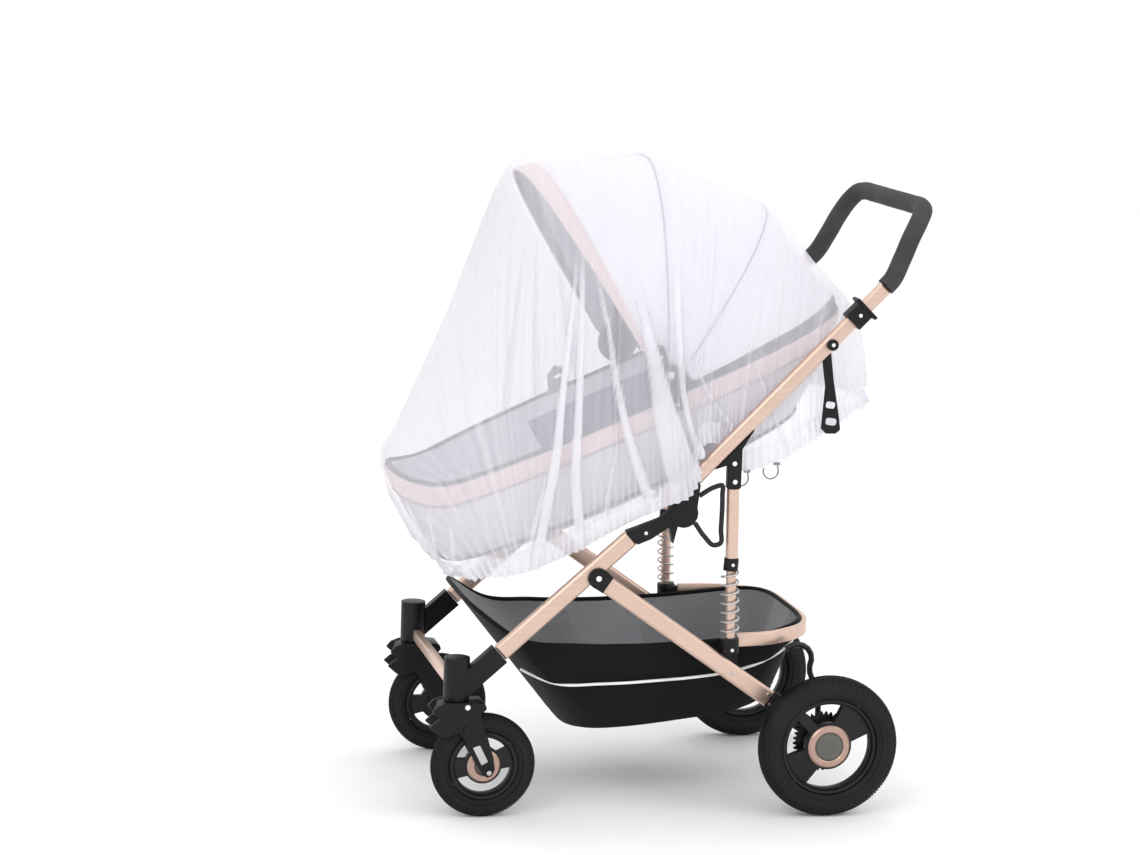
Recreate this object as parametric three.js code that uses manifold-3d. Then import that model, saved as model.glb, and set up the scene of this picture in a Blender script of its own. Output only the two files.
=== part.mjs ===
// Mosquito net for a stroller, draped over the carrycot, hood and frame that it fits.
// Millimetres. +X runs from the foot end to the handle, +Z is up, and the near side is -Y.
// The origin is on the floor under the middle of the stroller.

import * as THREE from "three";
import { mergeVertices } from "three/addons/utils/BufferGeometryUtils.js";
import Module from "manifold-3d";

const wasm = await Module();
wasm.setup();

// Driving dimensions

const GAP = 0.3;
const DRAPE = { hood: 3.1, carrycot: 4.5 };

const REAR_WHEEL = { x: 287, y: 273, radius: 125, halfWidth: 21, rimRadius: 86, ringRadius: 38 };
const FRONT_WHEEL = { x: -315, y: 222, radius: 91.5, halfWidth: 17, rimRadius: 60, ringRadius: 29 };
// Each window of a rim runs between two angles in degrees
const FRONT_RIM = {
  halfThick: 9,
  bossRadius: 14,
  bossHalf: 19.7,
  windows: [[-153, -5], [38, 95], [107, 165]],
};
const REAR_RIM = {
  halfThick: 10,
  bossRadius: 23,
  bossHalf: 14,
  windows: [[-120, 17], [72, 127], [139, 193]],
};
const WHEEL_FACETS = 32;

const FRAME_Y = 227;
const TUBE = { deep: 30, upperDeep: 25, thick: 18 };
const PLATE_FACE = FRAME_Y + TUBE.thick / 2;

const LOWER_TUBE = { from: [-292, 288], to: [-69, 488] };
const UPPER_TUBE = { from: [40, 590], to: [366, 924] };
const REAR_LEG = { from: [-116, 411], to: [191, 198], deep: 31 };
const HUB = { x: 21, z: 531, radius: 25, halfThick: 12 };
const KNUCKLE = { x: -126, z: 419, radius: 18, thick: 6 };

const HINGE = { x: -5, z: 735 };
const HOOD = { halfWidth: 199, square: 2.6, thick: 1.6, front: 118.7, rear: 27.4 };
const BRIM = { front: 122.9, rear: 119, thick: 3 };
const TRIM = { front: 27.1, rear: 23.6 };

const COT = {
  length: 790,
  halfWidth: 201,
  centreX: -60,
  wall: 4,
  slope: 0.435,
  depth: 172,
  rake: 0.09,
  square: 3.2,
};

const NET = { thick: 1, alongCells: 68, acrossCells: 20 };

// The hood's hoops turn about the hinge line: angle from +X in degrees, reach in mm

const HOOPS = [
  { angle: 15, reach: 366 },
  { angle: 23.5, reach: 372 },
  { angle: 31.5, reach: 356 },
  { angle: 44, reach: 354 },
  { angle: 57, reach: 371 },
  { angle: 66, reach: 366 },
  { angle: 74, reach: 365 },
  { angle: 85.5, reach: 379 },
  { angle: 92, reach: 392 },
  { angle: 106, reach: 400 },
  { angle: 118.5, reach: 424 },
  { angle: 123, reach: 431 },
  { angle: 131, reach: 436 },
];

// The net's stations run from the hem under the foot end, over the top, to the hem behind the head.
// top is on the middle line, rim is where the cloth passes the carrycot's rim, hem is its lower edge,
// and bow says how square the curve from top to rim is.

const STATIONS = [
  { topX: -348, topZ: 392, rimX: -340, rimY: 84, rimZ: 396, hemX: -330, hemY: 118, hemZ: 402, bow: 2.0 },
  { topX: -408, topZ: 456, rimX: -380, rimY: 128, rimZ: 452, hemX: -316, hemY: 152, hemZ: 406, bow: 2.1 },
  { topX: -462, topZ: 566, rimX: -404, rimY: 168, rimZ: 562, hemX: -300, hemY: 168, hemZ: 410, bow: 2.2 },
  { topX: -432, topZ: 652, rimX: -372, rimY: 190, rimZ: 590, hemX: -280, hemY: 178, hemZ: 412, bow: 2.0 },
  { topX: -352, topZ: 846, rimX: -306, rimY: 204, rimZ: 622, hemX: -252, hemY: 186, hemZ: 419, bow: 2.0 },
  { topX: -249, topZ: 1104, rimX: -232, rimY: 208, rimZ: 660, hemX: -221, hemY: 190, hemZ: 430, bow: 2.5 },
  { topX: -170, topZ: 1122, rimX: -172, rimY: 208, rimZ: 690, hemX: -160, hemY: 196, hemZ: 458, bow: 2.6 },
  { topX: -80, topZ: 1129.8, rimX: -96, rimY: 210, rimZ: 718, hemX: -80, hemY: 204, hemZ: 503, bow: 2.6 },
  { topX: 0, topZ: 1130, rimX: -20, rimY: 211, rimZ: 744, hemX: -10, hemY: 243, hemZ: 546, bow: 2.6 },
  { topX: 52, topZ: 1112, rimX: 24, rimY: 211, rimZ: 762, hemX: 24, hemY: 245, hemZ: 572, bow: 2.6 },
  { topX: 84, topZ: 1100, rimX: 52, rimY: 210, rimZ: 774, hemX: 44, hemY: 229, hemZ: 641, bow: 2.6 },
  { topX: 116, topZ: 1088, rimX: 84, rimY: 209, rimZ: 788, hemX: 78, hemY: 212, hemZ: 648, bow: 2.6 },
  { topX: 160, topZ: 1074, rimX: 130, rimY: 209, rimZ: 806, hemX: 122, hemY: 210, hemZ: 602, bow: 2.6 },
  { topX: 212, topZ: 1046, rimX: 186, rimY: 209, rimZ: 822, hemX: 190, hemY: 208, hemZ: 617, bow: 2.6 },
  { topX: 270, topZ: 968, rimX: 244, rimY: 208, rimZ: 838, hemX: 250, hemY: 204, hemZ: 650, bow: 2.6 },
  { topX: 346, topZ: 884, rimX: 300, rimY: 194, rimZ: 842, hemX: 306, hemY: 188, hemZ: 684, bow: 2.7 },
  { topX: 378, topZ: 800, rimX: 344, rimY: 152, rimZ: 796, hemX: 340, hemY: 156, hemZ: 698, bow: 2.4 },
  { topX: 396, topZ: 698, rimX: 386, rimY: 84, rimZ: 700, hemX: 368, hemY: 118, hemZ: 702, bow: 2.0 },
];

// Hanging folds: station where each starts high up and where it ends at the hem, width in stations,
// lift off the cloth, and how far up it reaches (0 is the middle line, 1 the hem)

const FOLDS = [
  { side: "near", high: 5.5, low: 5.05, width: 0.26, lift: 10, start: 0.36 },
  { side: "near", high: 5.8, low: 5.9, width: 0.2, lift: 9, start: 0.38 },
  { side: "near", high: 6.05, low: 7.3, width: 0.26, lift: 12, start: 0.36 },
  { side: "near", high: 7.1, low: 8.25, width: 0.42, lift: 14, start: 0.42 },
  { side: "near", high: 8.2, low: 8.85, width: 0.28, lift: 10, start: 0.5 },
  { side: "near", high: 11.4, low: 12.3, width: 0.3, lift: 7, start: 0.62 },
  { side: "near", high: 12.6, low: 13.3, width: 0.3, lift: 7, start: 0.58 },
  { side: "near", high: 4.2, low: 4.3, width: 0.24, lift: 6, start: 0.7 },
  { side: "near", high: 2.6, low: 2.6, width: 0.3, lift: 6, start: 0.7 },
  { side: "far", high: 5.6, low: 5.2, width: 0.3, lift: 10, start: 0.38 },
  { side: "far", high: 6.1, low: 6.9, width: 0.3, lift: 11, start: 0.38 },
  { side: "far", high: 7.4, low: 8.3, width: 0.4, lift: 12, start: 0.45 },
  { side: "far", high: 11.8, low: 12.6, width: 0.3, lift: 7, start: 0.6 },
  { side: "far", high: 3.6, low: 3.8, width: 0.3, lift: 6, start: 0.7 },
];

// Small mathematics

const radians = (degrees) => (degrees * Math.PI) / 180;
const mix = (a, b, t) => a + (b - a) * t;
const clamp = (value, low, high) => Math.min(Math.max(value, low), high);
const rise = (t) => t * t * (3 - 2 * t);
const bend = (value, power) => (Math.abs(value) < 1e-9 ? 0 : Math.sign(value) * Math.abs(value) ** power);

// A smooth curve through table values at whole steps
function spline(values, t) {
  const last = values.length - 1;
  const i = clamp(Math.floor(t), 0, last - 1);
  const f = t - i;
  const [a, b, c, d] = [values[Math.max(i - 1, 0)], values[i], values[i + 1], values[Math.min(i + 2, last)]];
  const [second, third] = [2 * a - 5 * b + 4 * c - d, 3 * b - a - 3 * c + d];
  return 0.5 * (2 * b + (c - a) * f + second * f * f + third * f ** 3);
}

// The value of one table column at a place measured along another
function lookUp(table, key, column, at) {
  const above = table.findIndex((row) => row[key] >= at);
  const i = above < 0 ? table.length - 1 : Math.max(above, 1);
  const [low, high] = [table[i - 1], table[i]];
  return mix(low[column], high[column], clamp((at - low[key]) / (high[key] - low[key]), 0, 1));
}

// Making and joining solids

function solid(geometry) {
  const bare = geometry.clone();
  bare.deleteAttribute("normal");
  bare.deleteAttribute("uv");
  const merged = mergeVertices(bare, 1e-3);
  const vertProperties = new Float32Array(merged.attributes.position.array);
  const triVerts = new Uint32Array(merged.index.array);
  return new wasm.Manifold(new wasm.Mesh({ numProp: 3, vertProperties, triVerts }));
}

function geometryOf(manifold) {
  const mesh = manifold.getMesh();
  const geometry = new THREE.BufferGeometry();
  geometry.setAttribute("position", new THREE.BufferAttribute(new Float32Array(mesh.vertProperties), 3));
  geometry.setIndex(new THREE.BufferAttribute(new Uint32Array(mesh.triVerts), 1));
  return geometry;
}

const join = (...pieces) => geometryOf(pieces.map(solid).reduce((whole, piece) => whole.add(piece)));
const cut = (whole, ...tools) =>
  geometryOf(tools.map(solid).reduce((rest, tool) => rest.subtract(tool), solid(whole)));

// The same piece on the other side of the middle plane
function mirrored(geometry) {
  const flat = geometry.index ? geometry.toNonIndexed() : geometry.clone();
  const position = flat.attributes.position;
  for (let i = 0; i < position.count; i += 3) {
    const [a, b, c] = [0, 1, 2].map((k) => new THREE.Vector3().fromBufferAttribute(position, i + k));
    [a, c, b].forEach((p, k) => position.setXYZ(i + k, p.x, -p.y, p.z));
  }
  flat.deleteAttribute("normal");
  flat.deleteAttribute("uv");
  return flat;
}

// Gives a box's lower face the diagonals of its upper face, so that a bent sheet's two walls never cross
function matchDiagonals(geometry) {
  const { index, groups } = geometry;
  const lower = groups.at(-1);
  for (let i = lower.start; i < lower.start + lower.count; i += 6) {
    const [a, b, c, d] = [i, i + 1, i + 4, i + 5].map((k) => index.getX(k));
    [a, b, c, a, c, d].forEach((corner, k) => index.setX(i + k, corner));
  }
}

// A thin closed sheet: place(a, b) gives its middle surface for a and b from 0 to 1
function sheet(place, cellsA, cellsB, thick) {
  const geometry = new THREE.BoxGeometry(1, 1, 1, cellsA, cellsB, 1);
  matchDiagonals(geometry);
  const position = geometry.attributes.position;
  const step = 1e-3;
  for (let i = 0; i < position.count; i += 1) {
    const a = position.getX(i) + 0.5;
    const b = position.getY(i) + 0.5;
    const alongA = place(Math.min(a + step, 1), b).sub(place(Math.max(a - step, 0), b));
    const alongB = place(a, Math.min(b + step, 1)).sub(place(a, Math.max(b - step, 0)));
    const out = alongA.cross(alongB).normalize();
    const p = place(a, b).addScaledVector(out, position.getZ(i) * thick);
    position.setXYZ(i, p.x, p.y, p.z);
  }
  return geometry;
}

// A flat piece in the XZ plane, from |y| = low to |y| = high, with its holes
function plate(outline, low, high, holes = []) {
  const corners = Array.isArray(outline) && outline.map(([x, z]) => new THREE.Vector2(x, z));
  const shape = corners ? new THREE.Shape(corners) : outline;
  shape.holes.push(...holes);
  const options = { depth: high - low, bevelEnabled: false, curveSegments: 5 };
  const geometry = new THREE.ExtrudeGeometry(shape, options);
  geometry.rotateX(Math.PI / 2);
  geometry.translate(0, high, 0);
  return geometry;
}

function circle(x, z, radius) {
  const shape = new THREE.Shape();
  shape.absarc(x, z, radius, 0, 2 * Math.PI, false);
  return shape;
}

// A round pin or disc that lies along Y
function disc(x, z, radius, low, high, sides = 20) {
  const geometry = new THREE.CylinderGeometry(radius, radius, high - low, sides);
  geometry.translate(x, (low + high) / 2, z);
  return geometry;
}

// The four corners of a bar from one point to another in the XZ plane
function barOutline(from, to, deep) {
  const along = new THREE.Vector2(to[0] - from[0], to[1] - from[1]).normalize();
  const side = new THREE.Vector2(-along.y, along.x).multiplyScalar(deep / 2);
  return [
    [from[0] - side.x, from[1] - side.y],
    [to[0] - side.x, to[1] - side.y],
    [to[0] + side.x, to[1] + side.y],
    [from[0] + side.x, from[1] + side.y],
  ];
}

// A flat tube with chamfered edges
function flatTube({ from, to }, deep, thick, middle = FRAME_Y) {
  const chamfer = 4;
  const along = new THREE.Vector2(to[0] - from[0], to[1] - from[1]).normalize().multiplyScalar(chamfer);
  const start = [from[0] + along.x, from[1] + along.y];
  const end = [to[0] - along.x, to[1] - along.y];
  const shape = new THREE.Shape(
    barOutline(start, end, deep - 2 * chamfer).map(([x, z]) => new THREE.Vector2(x, z)),
  );
  const geometry = new THREE.ExtrudeGeometry(shape, {
    depth: thick - 2 * chamfer,
    bevelThickness: chamfer,
    bevelSize: chamfer,
    bevelSegments: 1,
  });
  geometry.rotateX(Math.PI / 2);
  geometry.translate(0, middle + thick / 2 - chamfer, 0);
  return geometry;
}

// A round rod along a route of [x, y, z] points
function rod(route, radius, sides, steps) {
  const path = new THREE.CatmullRomCurve3(route.map((p) => new THREE.Vector3(...p)), false, "centripetal");
  const section = new THREE.Shape();
  for (let k = 0; k < sides; k += 1) {
    const turn = (2 * Math.PI * k) / sides;
    const point = [radius * Math.cos(turn), radius * Math.sin(turn)];
    if (k === 0) section.moveTo(...point);
    else section.lineTo(...point);
  }
  return new THREE.ExtrudeGeometry(section, { extrudePath: path, steps, bevelEnabled: false });
}

// A box from its low to its high corner
function block(low, high) {
  const geometry = new THREE.BoxGeometry(high[0] - low[0], high[1] - low[1], high[2] - low[2]);
  geometry.translate((low[0] + high[0]) / 2, (low[1] + high[1]) / 2, (low[2] + high[2]) / 2);
  return geometry;
}

// The hood's skin: angle in degrees about the hinge line, turn from -90 (near side) to 90 (far side)
function hoodPoint(angle, turn, offset = 0) {
  const reach = lookUp(HOOPS, "angle", "reach", angle) + offset;
  const power = 2 / HOOD.square;
  const out = reach * Math.cos(radians(turn)) ** power;
  const y = (HOOD.halfWidth + offset) * bend(Math.sin(radians(turn)), power);
  return new THREE.Vector3(
    HINGE.x + out * Math.cos(radians(angle)),
    y,
    HINGE.z + out * Math.sin(radians(angle)),
  );
}

// Pushes a point out of the hood, so that cloth lies on it with the given clearance
function overHood(p, clearance) {
  const [dx, dz] = [p.x - HINGE.x, p.z - HINGE.z];
  const out = Math.hypot(dx, dz);
  const angle = (Math.atan2(dz, dx) * 180) / Math.PI;
  if (dz <= 0 || angle > BRIM.front + 1.5) return p;
  const reach = lookUp(HOOPS, "angle", "reach", angle) + clearance;
  const half = HOOD.halfWidth + clearance;
  const inside = (Math.abs(p.y) / half) ** HOOD.square + (out / reach) ** HOOD.square;
  if (inside >= 1) return p;
  const grow = inside ** (-1 / HOOD.square);
  return new THREE.Vector3(HINGE.x + dx * grow, p.y * grow, HINGE.z + dz * grow);
}

// The carrycot's rim climbs towards the head and curls up at the foot
const cotRim = (x) => 578 + COT.slope * (x + 347) + 34 * clamp((-347 - x) / 96, 0, 1.3) ** 2;

// Half plan of the carrycot at a share of its full size and a drop below the rim; the foot end rakes inwards
function cotHalf(share, drop, x) {
  const rake = x < COT.centreX ? (COT.rake * drop) / COT.depth : 0;
  const taper = 1 - 0.1 * clamp((-150 - x) / 300, 0, 1) - 0.06 * clamp((x - 200) / 140, 0, 1);
  return {
    long: (COT.length / 2) * (share - rake * Math.min(share, 1)),
    wide: COT.halfWidth * share * taper,
  };
}

// The carrycot's outer wall: share of the full plan at each drop below the rim
const COT_WALL = [
  { drop: 0, share: 1 }, { drop: 42, share: 0.975 }, { drop: 90, share: 0.93 }, { drop: 154, share: 0.83 },
  { drop: 172, share: 0.7 },
];

// Pushes a point out of the carrycot, so that cloth lies round it with the given clearance
function roundCot(p, clearance) {
  const drop = cotRim(p.x) - p.z;
  if (drop < -6 || drop > COT.depth + 4) return p;
  const { long, wide } = cotHalf(lookUp(COT_WALL, "drop", "share", drop), Math.max(drop, 0), p.x);
  const band = drop < 48 ? 3.2 : 0;
  const dx = p.x - COT.centreX;
  const room = clearance + band;
  const inside = (Math.abs(dx) / (long + room)) ** COT.square + (Math.abs(p.y) / (wide + room)) ** COT.square;
  if (inside >= 1) return p;
  const grow = inside ** (-1 / COT.square);
  return new THREE.Vector3(COT.centreX + dx * grow, p.y * grow, p.z);
}

// The net

const column = (name) => STATIONS.map((row) => row[name]);
const COLUMNS = Object.fromEntries(Object.keys(STATIONS[0]).map((name) => [name, column(name)]));
const RIM_AT = 0.62;

// The net without folds: station along it, and across from -1 (near hem) over 0 (middle) to 1 (far hem)
function netBase(station, across) {
  const at = (name) => spline(COLUMNS[name], station);
  const down = Math.abs(across);
  const side = Math.sign(across);
  const upper = clamp(down / RIM_AT, 0, 1) * (Math.PI / 2);
  const power = 2 / at("bow");
  const fall = 1 - Math.max(Math.cos(upper), 0) ** power;
  const p = new THREE.Vector3(
    mix(at("topX"), at("rimX"), fall),
    side * at("rimY") * Math.sin(upper) ** power,
    mix(at("topZ"), at("rimZ"), fall),
  );
  if (down > RIM_AT) {
    const lower = (down - RIM_AT) / (1 - RIM_AT);
    p.x = mix(at("rimX"), at("hemX"), lower);
    p.y = side * mix(at("rimY"), at("hemY"), rise(lower));
    p.z = mix(at("rimZ"), at("hemZ"), lower);
  }
  return roundCot(overHood(p, DRAPE.hood), DRAPE.carrycot);
}

// How far the hanging folds lift the cloth at a place
function foldLift(station, across) {
  const side = across < 0 ? "near" : "far";
  const down = Math.abs(across);
  let lift = 0;
  for (const fold of FOLDS) {
    if (fold.side !== side || down < fold.start) continue;
    const along = (down - fold.start) / (1 - fold.start);
    const middle = mix(fold.high, fold.low, along);
    const away = Math.abs(station - middle) / fold.width;
    if (away < 1) lift = Math.max(lift, fold.lift * (1 - rise(away)) * rise(clamp(along * 4, 0, 1)));
  }
  return lift;
}

function netPoint(station, across) {
  const step = 0.02;
  const p = netBase(station, across);
  const lift = foldLift(station, across);
  if (lift === 0) return p;
  const alongA = netBase(station + step, across).sub(netBase(station - step, across));
  const alongB = netBase(station, across + step / 4).sub(netBase(station, across - step / 4));
  return p.addScaledVector(alongA.cross(alongB).normalize(), lift);
}

function netGeometry() {
  const last = STATIONS.length - 1;
  return sheet((a, b) => netPoint(a * last, 2 * b - 1), NET.alongCells, NET.acrossCells, NET.thick);
}

// Carrycot

// A lathe profile of [share of the half plan, drop below the rim], bent to the carrycot's outline
function cotLathe(profile, segments) {
  const points = profile.map(([share], i) => new THREE.Vector2(share === 0 ? 0 : 1, i));
  const geometry = new THREE.LatheGeometry(points, segments);
  const position = geometry.attributes.position;
  const power = 2 / COT.square;
  for (let i = 0; i < position.count; i += 1) {
    const [share, drop] = profile[Math.round(position.getY(i))];
    const turn = share === 0 ? 0 : Math.atan2(-position.getZ(i), position.getX(i));
    const side = bend(Math.cos(turn), power);
    const { long } = cotHalf(share, drop, COT.centreX + side);
    const x = COT.centreX + long * side;
    const y = cotHalf(share, drop, x).wide * bend(Math.sin(turn), power);
    position.setXYZ(i, x, y, cotRim(x) - drop);
  }
  return geometry;
}

const COT_SEGMENTS = 40;

function cotShell() {
  const inner = 1 - COT.wall / COT.halfWidth;
  const outside = COT_WALL.map(({ share, drop }) => [share, drop]).reverse();
  return cotLathe([
    [0, COT.depth], ...outside,
    [inner, 0], [inner - 0.03, 42], [inner - 0.075, 90], [inner - 0.17, COT.depth - 26],
    [0.67, COT.depth - 8], [0, COT.depth - 8],
  ], COT_SEGMENTS);
}

function cotBand() {
  return cotLathe([[1.004, 4], [0.981, 40], [0.993, 40], [1.013, 4], [1.004, 4]], COT_SEGMENTS);
}

function mattress() {
  const low = COT.depth - 8 - GAP;
  return cotLathe([[0, low], [0.64, low], [0.72, low - 16], [0.7, low - 30], [0, low - 34]], 32);
}

// Hood: fabric, brim, bows and the trim along its lower edge

const hoodFabric = () =>
  sheet((a, b) => hoodPoint(mix(HOOD.rear, HOOD.front, a), mix(86, -86, b), 0), 14, 16, HOOD.thick);

const hoodBrim = () =>
  sheet((a, b) => hoodPoint(mix(BRIM.rear, BRIM.front, a), mix(85, -85, b), 0), 2, 20, BRIM.thick);

// A hoop of even width under the hood's skin, from one hinge disc to the other
function bow(angle) {
  const halfWidth = 6;
  return sheet(
    (a, b) => {
      const turn = mix(86, -86, b);
      const middle = hoodPoint(angle, turn, -7);
      const out = Math.hypot(middle.x - HINGE.x, middle.z - HINGE.z);
      return hoodPoint(angle + mix(-1, 1, a) * ((halfWidth / out) * 180) / Math.PI, turn, -7);
    },
    1, 20, 4,
  );
}

function hoodFrame() {
  const hinge = disc(-4, 769, 36, 189, 196.4, 20);
  return join(bow(92), bow(57), hinge, mirrored(hinge));
}

const hoodLever = () =>
  plate(
    [[-44, 830], [-24, 838], [12, 752], [10, 734], [-12, 734]],
    HOOD.halfWidth + 1.2, HOOD.halfWidth + 3.2,
  );

const rearTrim = () =>
  sheet((a, b) => hoodPoint(mix(TRIM.rear, TRIM.front, a), mix(86, -86, b), 0), 1, 20, HOOD.thick);

// Wheels, built about their own axle on the far side and moved out

function tyre({ x, y, radius, halfWidth, rimRadius }) {
  const flat = 8;
  const profile = [
    [rimRadius + GAP, -halfWidth + 4], [radius - 17, -halfWidth], [radius, -flat],
    [radius, flat], [radius - 17, halfWidth], [rimRadius + GAP, halfWidth - 4],
    [rimRadius + GAP, -halfWidth + 4],
  ];
  const points = profile.map(([r, across]) => new THREE.Vector2(r, across));
  const geometry = new THREE.LatheGeometry(points, WHEEL_FACETS, Math.PI / WHEEL_FACETS);
  geometry.translate(x, y, axleHeight(radius));
  return geometry;
}

// The wheel stands on the flat of one facet, so its axle is that facet's distance up
function axleHeight(radius) {
  return radius * Math.cos(Math.PI / WHEEL_FACETS);
}

function rimWindow(x, z, inner, outer, from, to) {
  const shape = new THREE.Path();
  shape.absarc(x, z, outer, radians(from), radians(to), false);
  shape.absarc(x, z, inner, radians(to - 6), radians(from + 6), true);
  return shape;
}

function wheelRim({ x, y, radius, rimRadius, ringRadius }, { halfThick, bossRadius, bossHalf, windows }) {
  const z = axleHeight(radius);
  const facet = Math.cos(Math.PI / WHEEL_FACETS);
  const cut = windows.map(([from, to]) => rimWindow(x, z, ringRadius + 4, rimRadius - 9, from, to));
  const web = plate(circle(x, z, rimRadius * facet - GAP), y - halfThick, y + halfThick, cut);
  return join(web, disc(x, z, bossRadius, y - bossHalf, y + bossHalf, 16));
}

function hubRing({ x, y, radius, ringRadius }, from, hole) {
  const z = axleHeight(radius);
  const hollow = new THREE.Path();
  hollow.absarc(x, z, hole, 0, 2 * Math.PI, true);
  return plate(circle(x, z, ringRadius), y + from, y + from + 3, [hollow]);
}

// Chassis pieces for the far side

// The middle line of the upper tube at a given x, and its lower edge, where deep is measured across the slope
const onUpperTube = (x) => {
  const [[x0, z0], [x1, z1]] = [UPPER_TUBE.from, UPPER_TUBE.to];
  return mix(z0, z1, (x - x0) / (x1 - x0));
};
function underUpperTube(x) {
  const [[x0, z0], [x1, z1]] = [UPPER_TUBE.from, UPPER_TUBE.to];
  const upright = Math.hypot(1, (z1 - z0) / (x1 - x0));
  return onUpperTube(x) - (TUBE.upperDeep / 2) * upright - GAP;
}

const lowerTube = () => flatTube(LOWER_TUBE, TUBE.deep, TUBE.thick);
const upperTube = () => flatTube(UPPER_TUBE, TUBE.upperDeep, TUBE.thick);
const rearLeg = () => flatTube(REAR_LEG, REAR_LEG.deep, TUBE.thick);

function hub() {
  const low = FRAME_Y - HUB.halfThick;
  const high = FRAME_Y + HUB.halfThick;
  const [inner, outer] = [FRAME_Y - 10, FRAME_Y + 10];
  return join(
    disc(HUB.x, HUB.z, HUB.radius, low, high),
    plate(
      [[-78.8, 499.4], [-58.6, 476.9], [-36, 486], [4, 512], [4, 542], [-20, 521], [-60, 506]],
      inner, outer,
    ),
    plate([[-4, 536], [44, 536], [48.7, 580.8], [30.8, 598.3]], inner, outer),
    plate([[-14, 515], [-2, 504], [4, 478], [12, 512]], inner, outer),
  );
}

function knuckle() {
  const low = PLATE_FACE + GAP;
  return join(
    disc(KNUCKLE.x, KNUCKLE.z, KNUCKLE.radius, low, low + KNUCKLE.thick),
    plate([[-140, 430], [-132, 402], [-118, 393], [-100, 420], [-112, 432]], low, low + KNUCKLE.thick - 2),
  );
}

function clampCollar() {
  const [[x0, z0], [x1, z1]] = [UPPER_TUBE.from, UPPER_TUBE.to];
  const along = new THREE.Vector2(x1 - x0, z1 - z0).normalize();
  const at = (s) => [319 + along.x * s, onUpperTube(319) + along.y * s];
  const outer = plate(barOutline(at(-18), at(14), 34), FRAME_Y - 13, FRAME_Y + 15);
  const flange = plate(barOutline(at(13), at(19), 48), FRAME_Y - 15, FRAME_Y + 17);
  const bore = flatTube({ from: at(-40), to: at(40) }, TUBE.upperDeep + 2 * GAP, TUBE.thick + 2 * GAP);
  return cut(join(outer, flange), bore);
}

// The block on the hub that the carrycot sits on, cut to the carrycot's wall
function carrycotAdapter() {
  const outside = COT_WALL.map(({ share, drop }) => [share + GAP / COT.halfWidth, drop + GAP]).reverse();
  const bulk = cotLathe([[0, COT.depth + GAP], ...outside, [0, GAP]], COT_SEGMENTS);
  return cut(plate([[14, 572], [46, 572], [46, 604], [14, 604]], 150, FRAME_Y - 10 - GAP), bulk);
}

const tubeKnob = () => disc(272, onUpperTube(272) - 3, 10, PLATE_FACE + GAP, PLATE_FACE + 9, 16);

function strutBracket() {
  return plate(
    [[97, 573], [121.5, 573], [121.5, 642], [142, underUpperTube(142)], [74, underUpperTube(74)], [97, 614]],
    FRAME_Y - 8, FRAME_Y + 8,
  );
}

const strutTube = () => rod([[109, FRAME_Y, 572.2], [112, FRAME_Y, 450.9]], 11, 12, 1);

function spring() {
  const turns = 7;
  const [top, bottom] = [425.8, 311.4];
  const route = [];
  const stepsPerTurn = 7;
  for (let k = 0; k <= turns * stepsPerTurn; k += 1) {
    const share = k / (turns * stepsPerTurn);
    const turn = 2 * Math.PI * share * turns;
    route.push([
      mix(110, 115, share) + 14.5 * Math.cos(turn),
      FRAME_Y + 14.5 * Math.sin(turn),
      mix(top, bottom, share),
    ]);
  }
  return rod(route, 2, 4, turns * stepsPerTurn);
}

function strutSocket() {
  return join(
    rod([[112, FRAME_Y, 450], [110.8, FRAME_Y, 428.4]], 13, 14, 1),
    rod([[112, FRAME_Y, 440], [115, FRAME_Y, 290]], 8.5, 12, 1),
    rod([[115, FRAME_Y, 308.6], [116, FRAME_Y, 284]], 16, 14, 1),
    plate([[100, 290], [131, 290], [131, 261], [124.9, 264.8], [101, 281.4]], FRAME_Y - 12, FRAME_Y - 2),
    block([114, 203, 289], [131.6, FRAME_Y - 4, 308]),
  );
}

const uBar = () =>
  rod(
    [[44, FRAME_Y, 512], [62, FRAME_Y, 488], [80, FRAME_Y, 473], [90, FRAME_Y, 476], [90.5, FRAME_Y, 500],
      [90.5, FRAME_Y, 560], [89, FRAME_Y, 578], [76, FRAME_Y, 575], [49.4, FRAME_Y, 559.8]],
    4.3, 8, 26,
  );

function frontHousing() {
  const sleeveFrom = [-362, 226];
  const sleeveTo = [-292.3, 287.7];
  return join(
    new THREE.CylinderGeometry(22.5, 22.5, 75, 20)
      .rotateX(Math.PI / 2)
      .translate(-365, FRONT_WHEEL.y, 244.5),
    plate(barOutline(sleeveFrom, sleeveTo, 37), FRAME_Y - 11, FRAME_Y + 11),
  );
}

function frontFork() {
  const side = [
    [-312, 206], [-308, 172], [-322, 158], [-303.5, 98], [-304, 85], [-314, 80.5], [-324, 84], [-327.5, 94],
    [-352, 156], [-384, 152], [-417, 160], [-406, 184], [-382, 198], [-345, 206],
  ];
  return join(
    plate(side, FRONT_WHEEL.y + 20, FRONT_WHEEL.y + 27),
    plate(side, FRONT_WHEEL.y - 27, FRONT_WHEEL.y - 20),
    plate([[-312, 206.7], [-309, 190], [-345, 187], [-392, 187], [-382, 200], [-345, 206.7]],
      FRONT_WHEEL.y - 27, FRONT_WHEEL.y + 27),
  );
}

// Pieces that cross the middle plane

function handleGrip() {
  const half = [
    [366.4, FRAME_Y - 1, 924.5], [376, FRAME_Y - 2, 934.2], [396, 217, 970], [414, 209, 1008],
    [430, 200, 1036], [441, 186, 1052], [446, 162, 1057], [447, 110, 1058], [447, 0, 1058],
  ];
  const route = [...half, ...half.slice(0, -1).reverse().map(([x, y, z]) => [x, -y, z])];
  return rod(route, 16.5, 8, 36);
}

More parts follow.
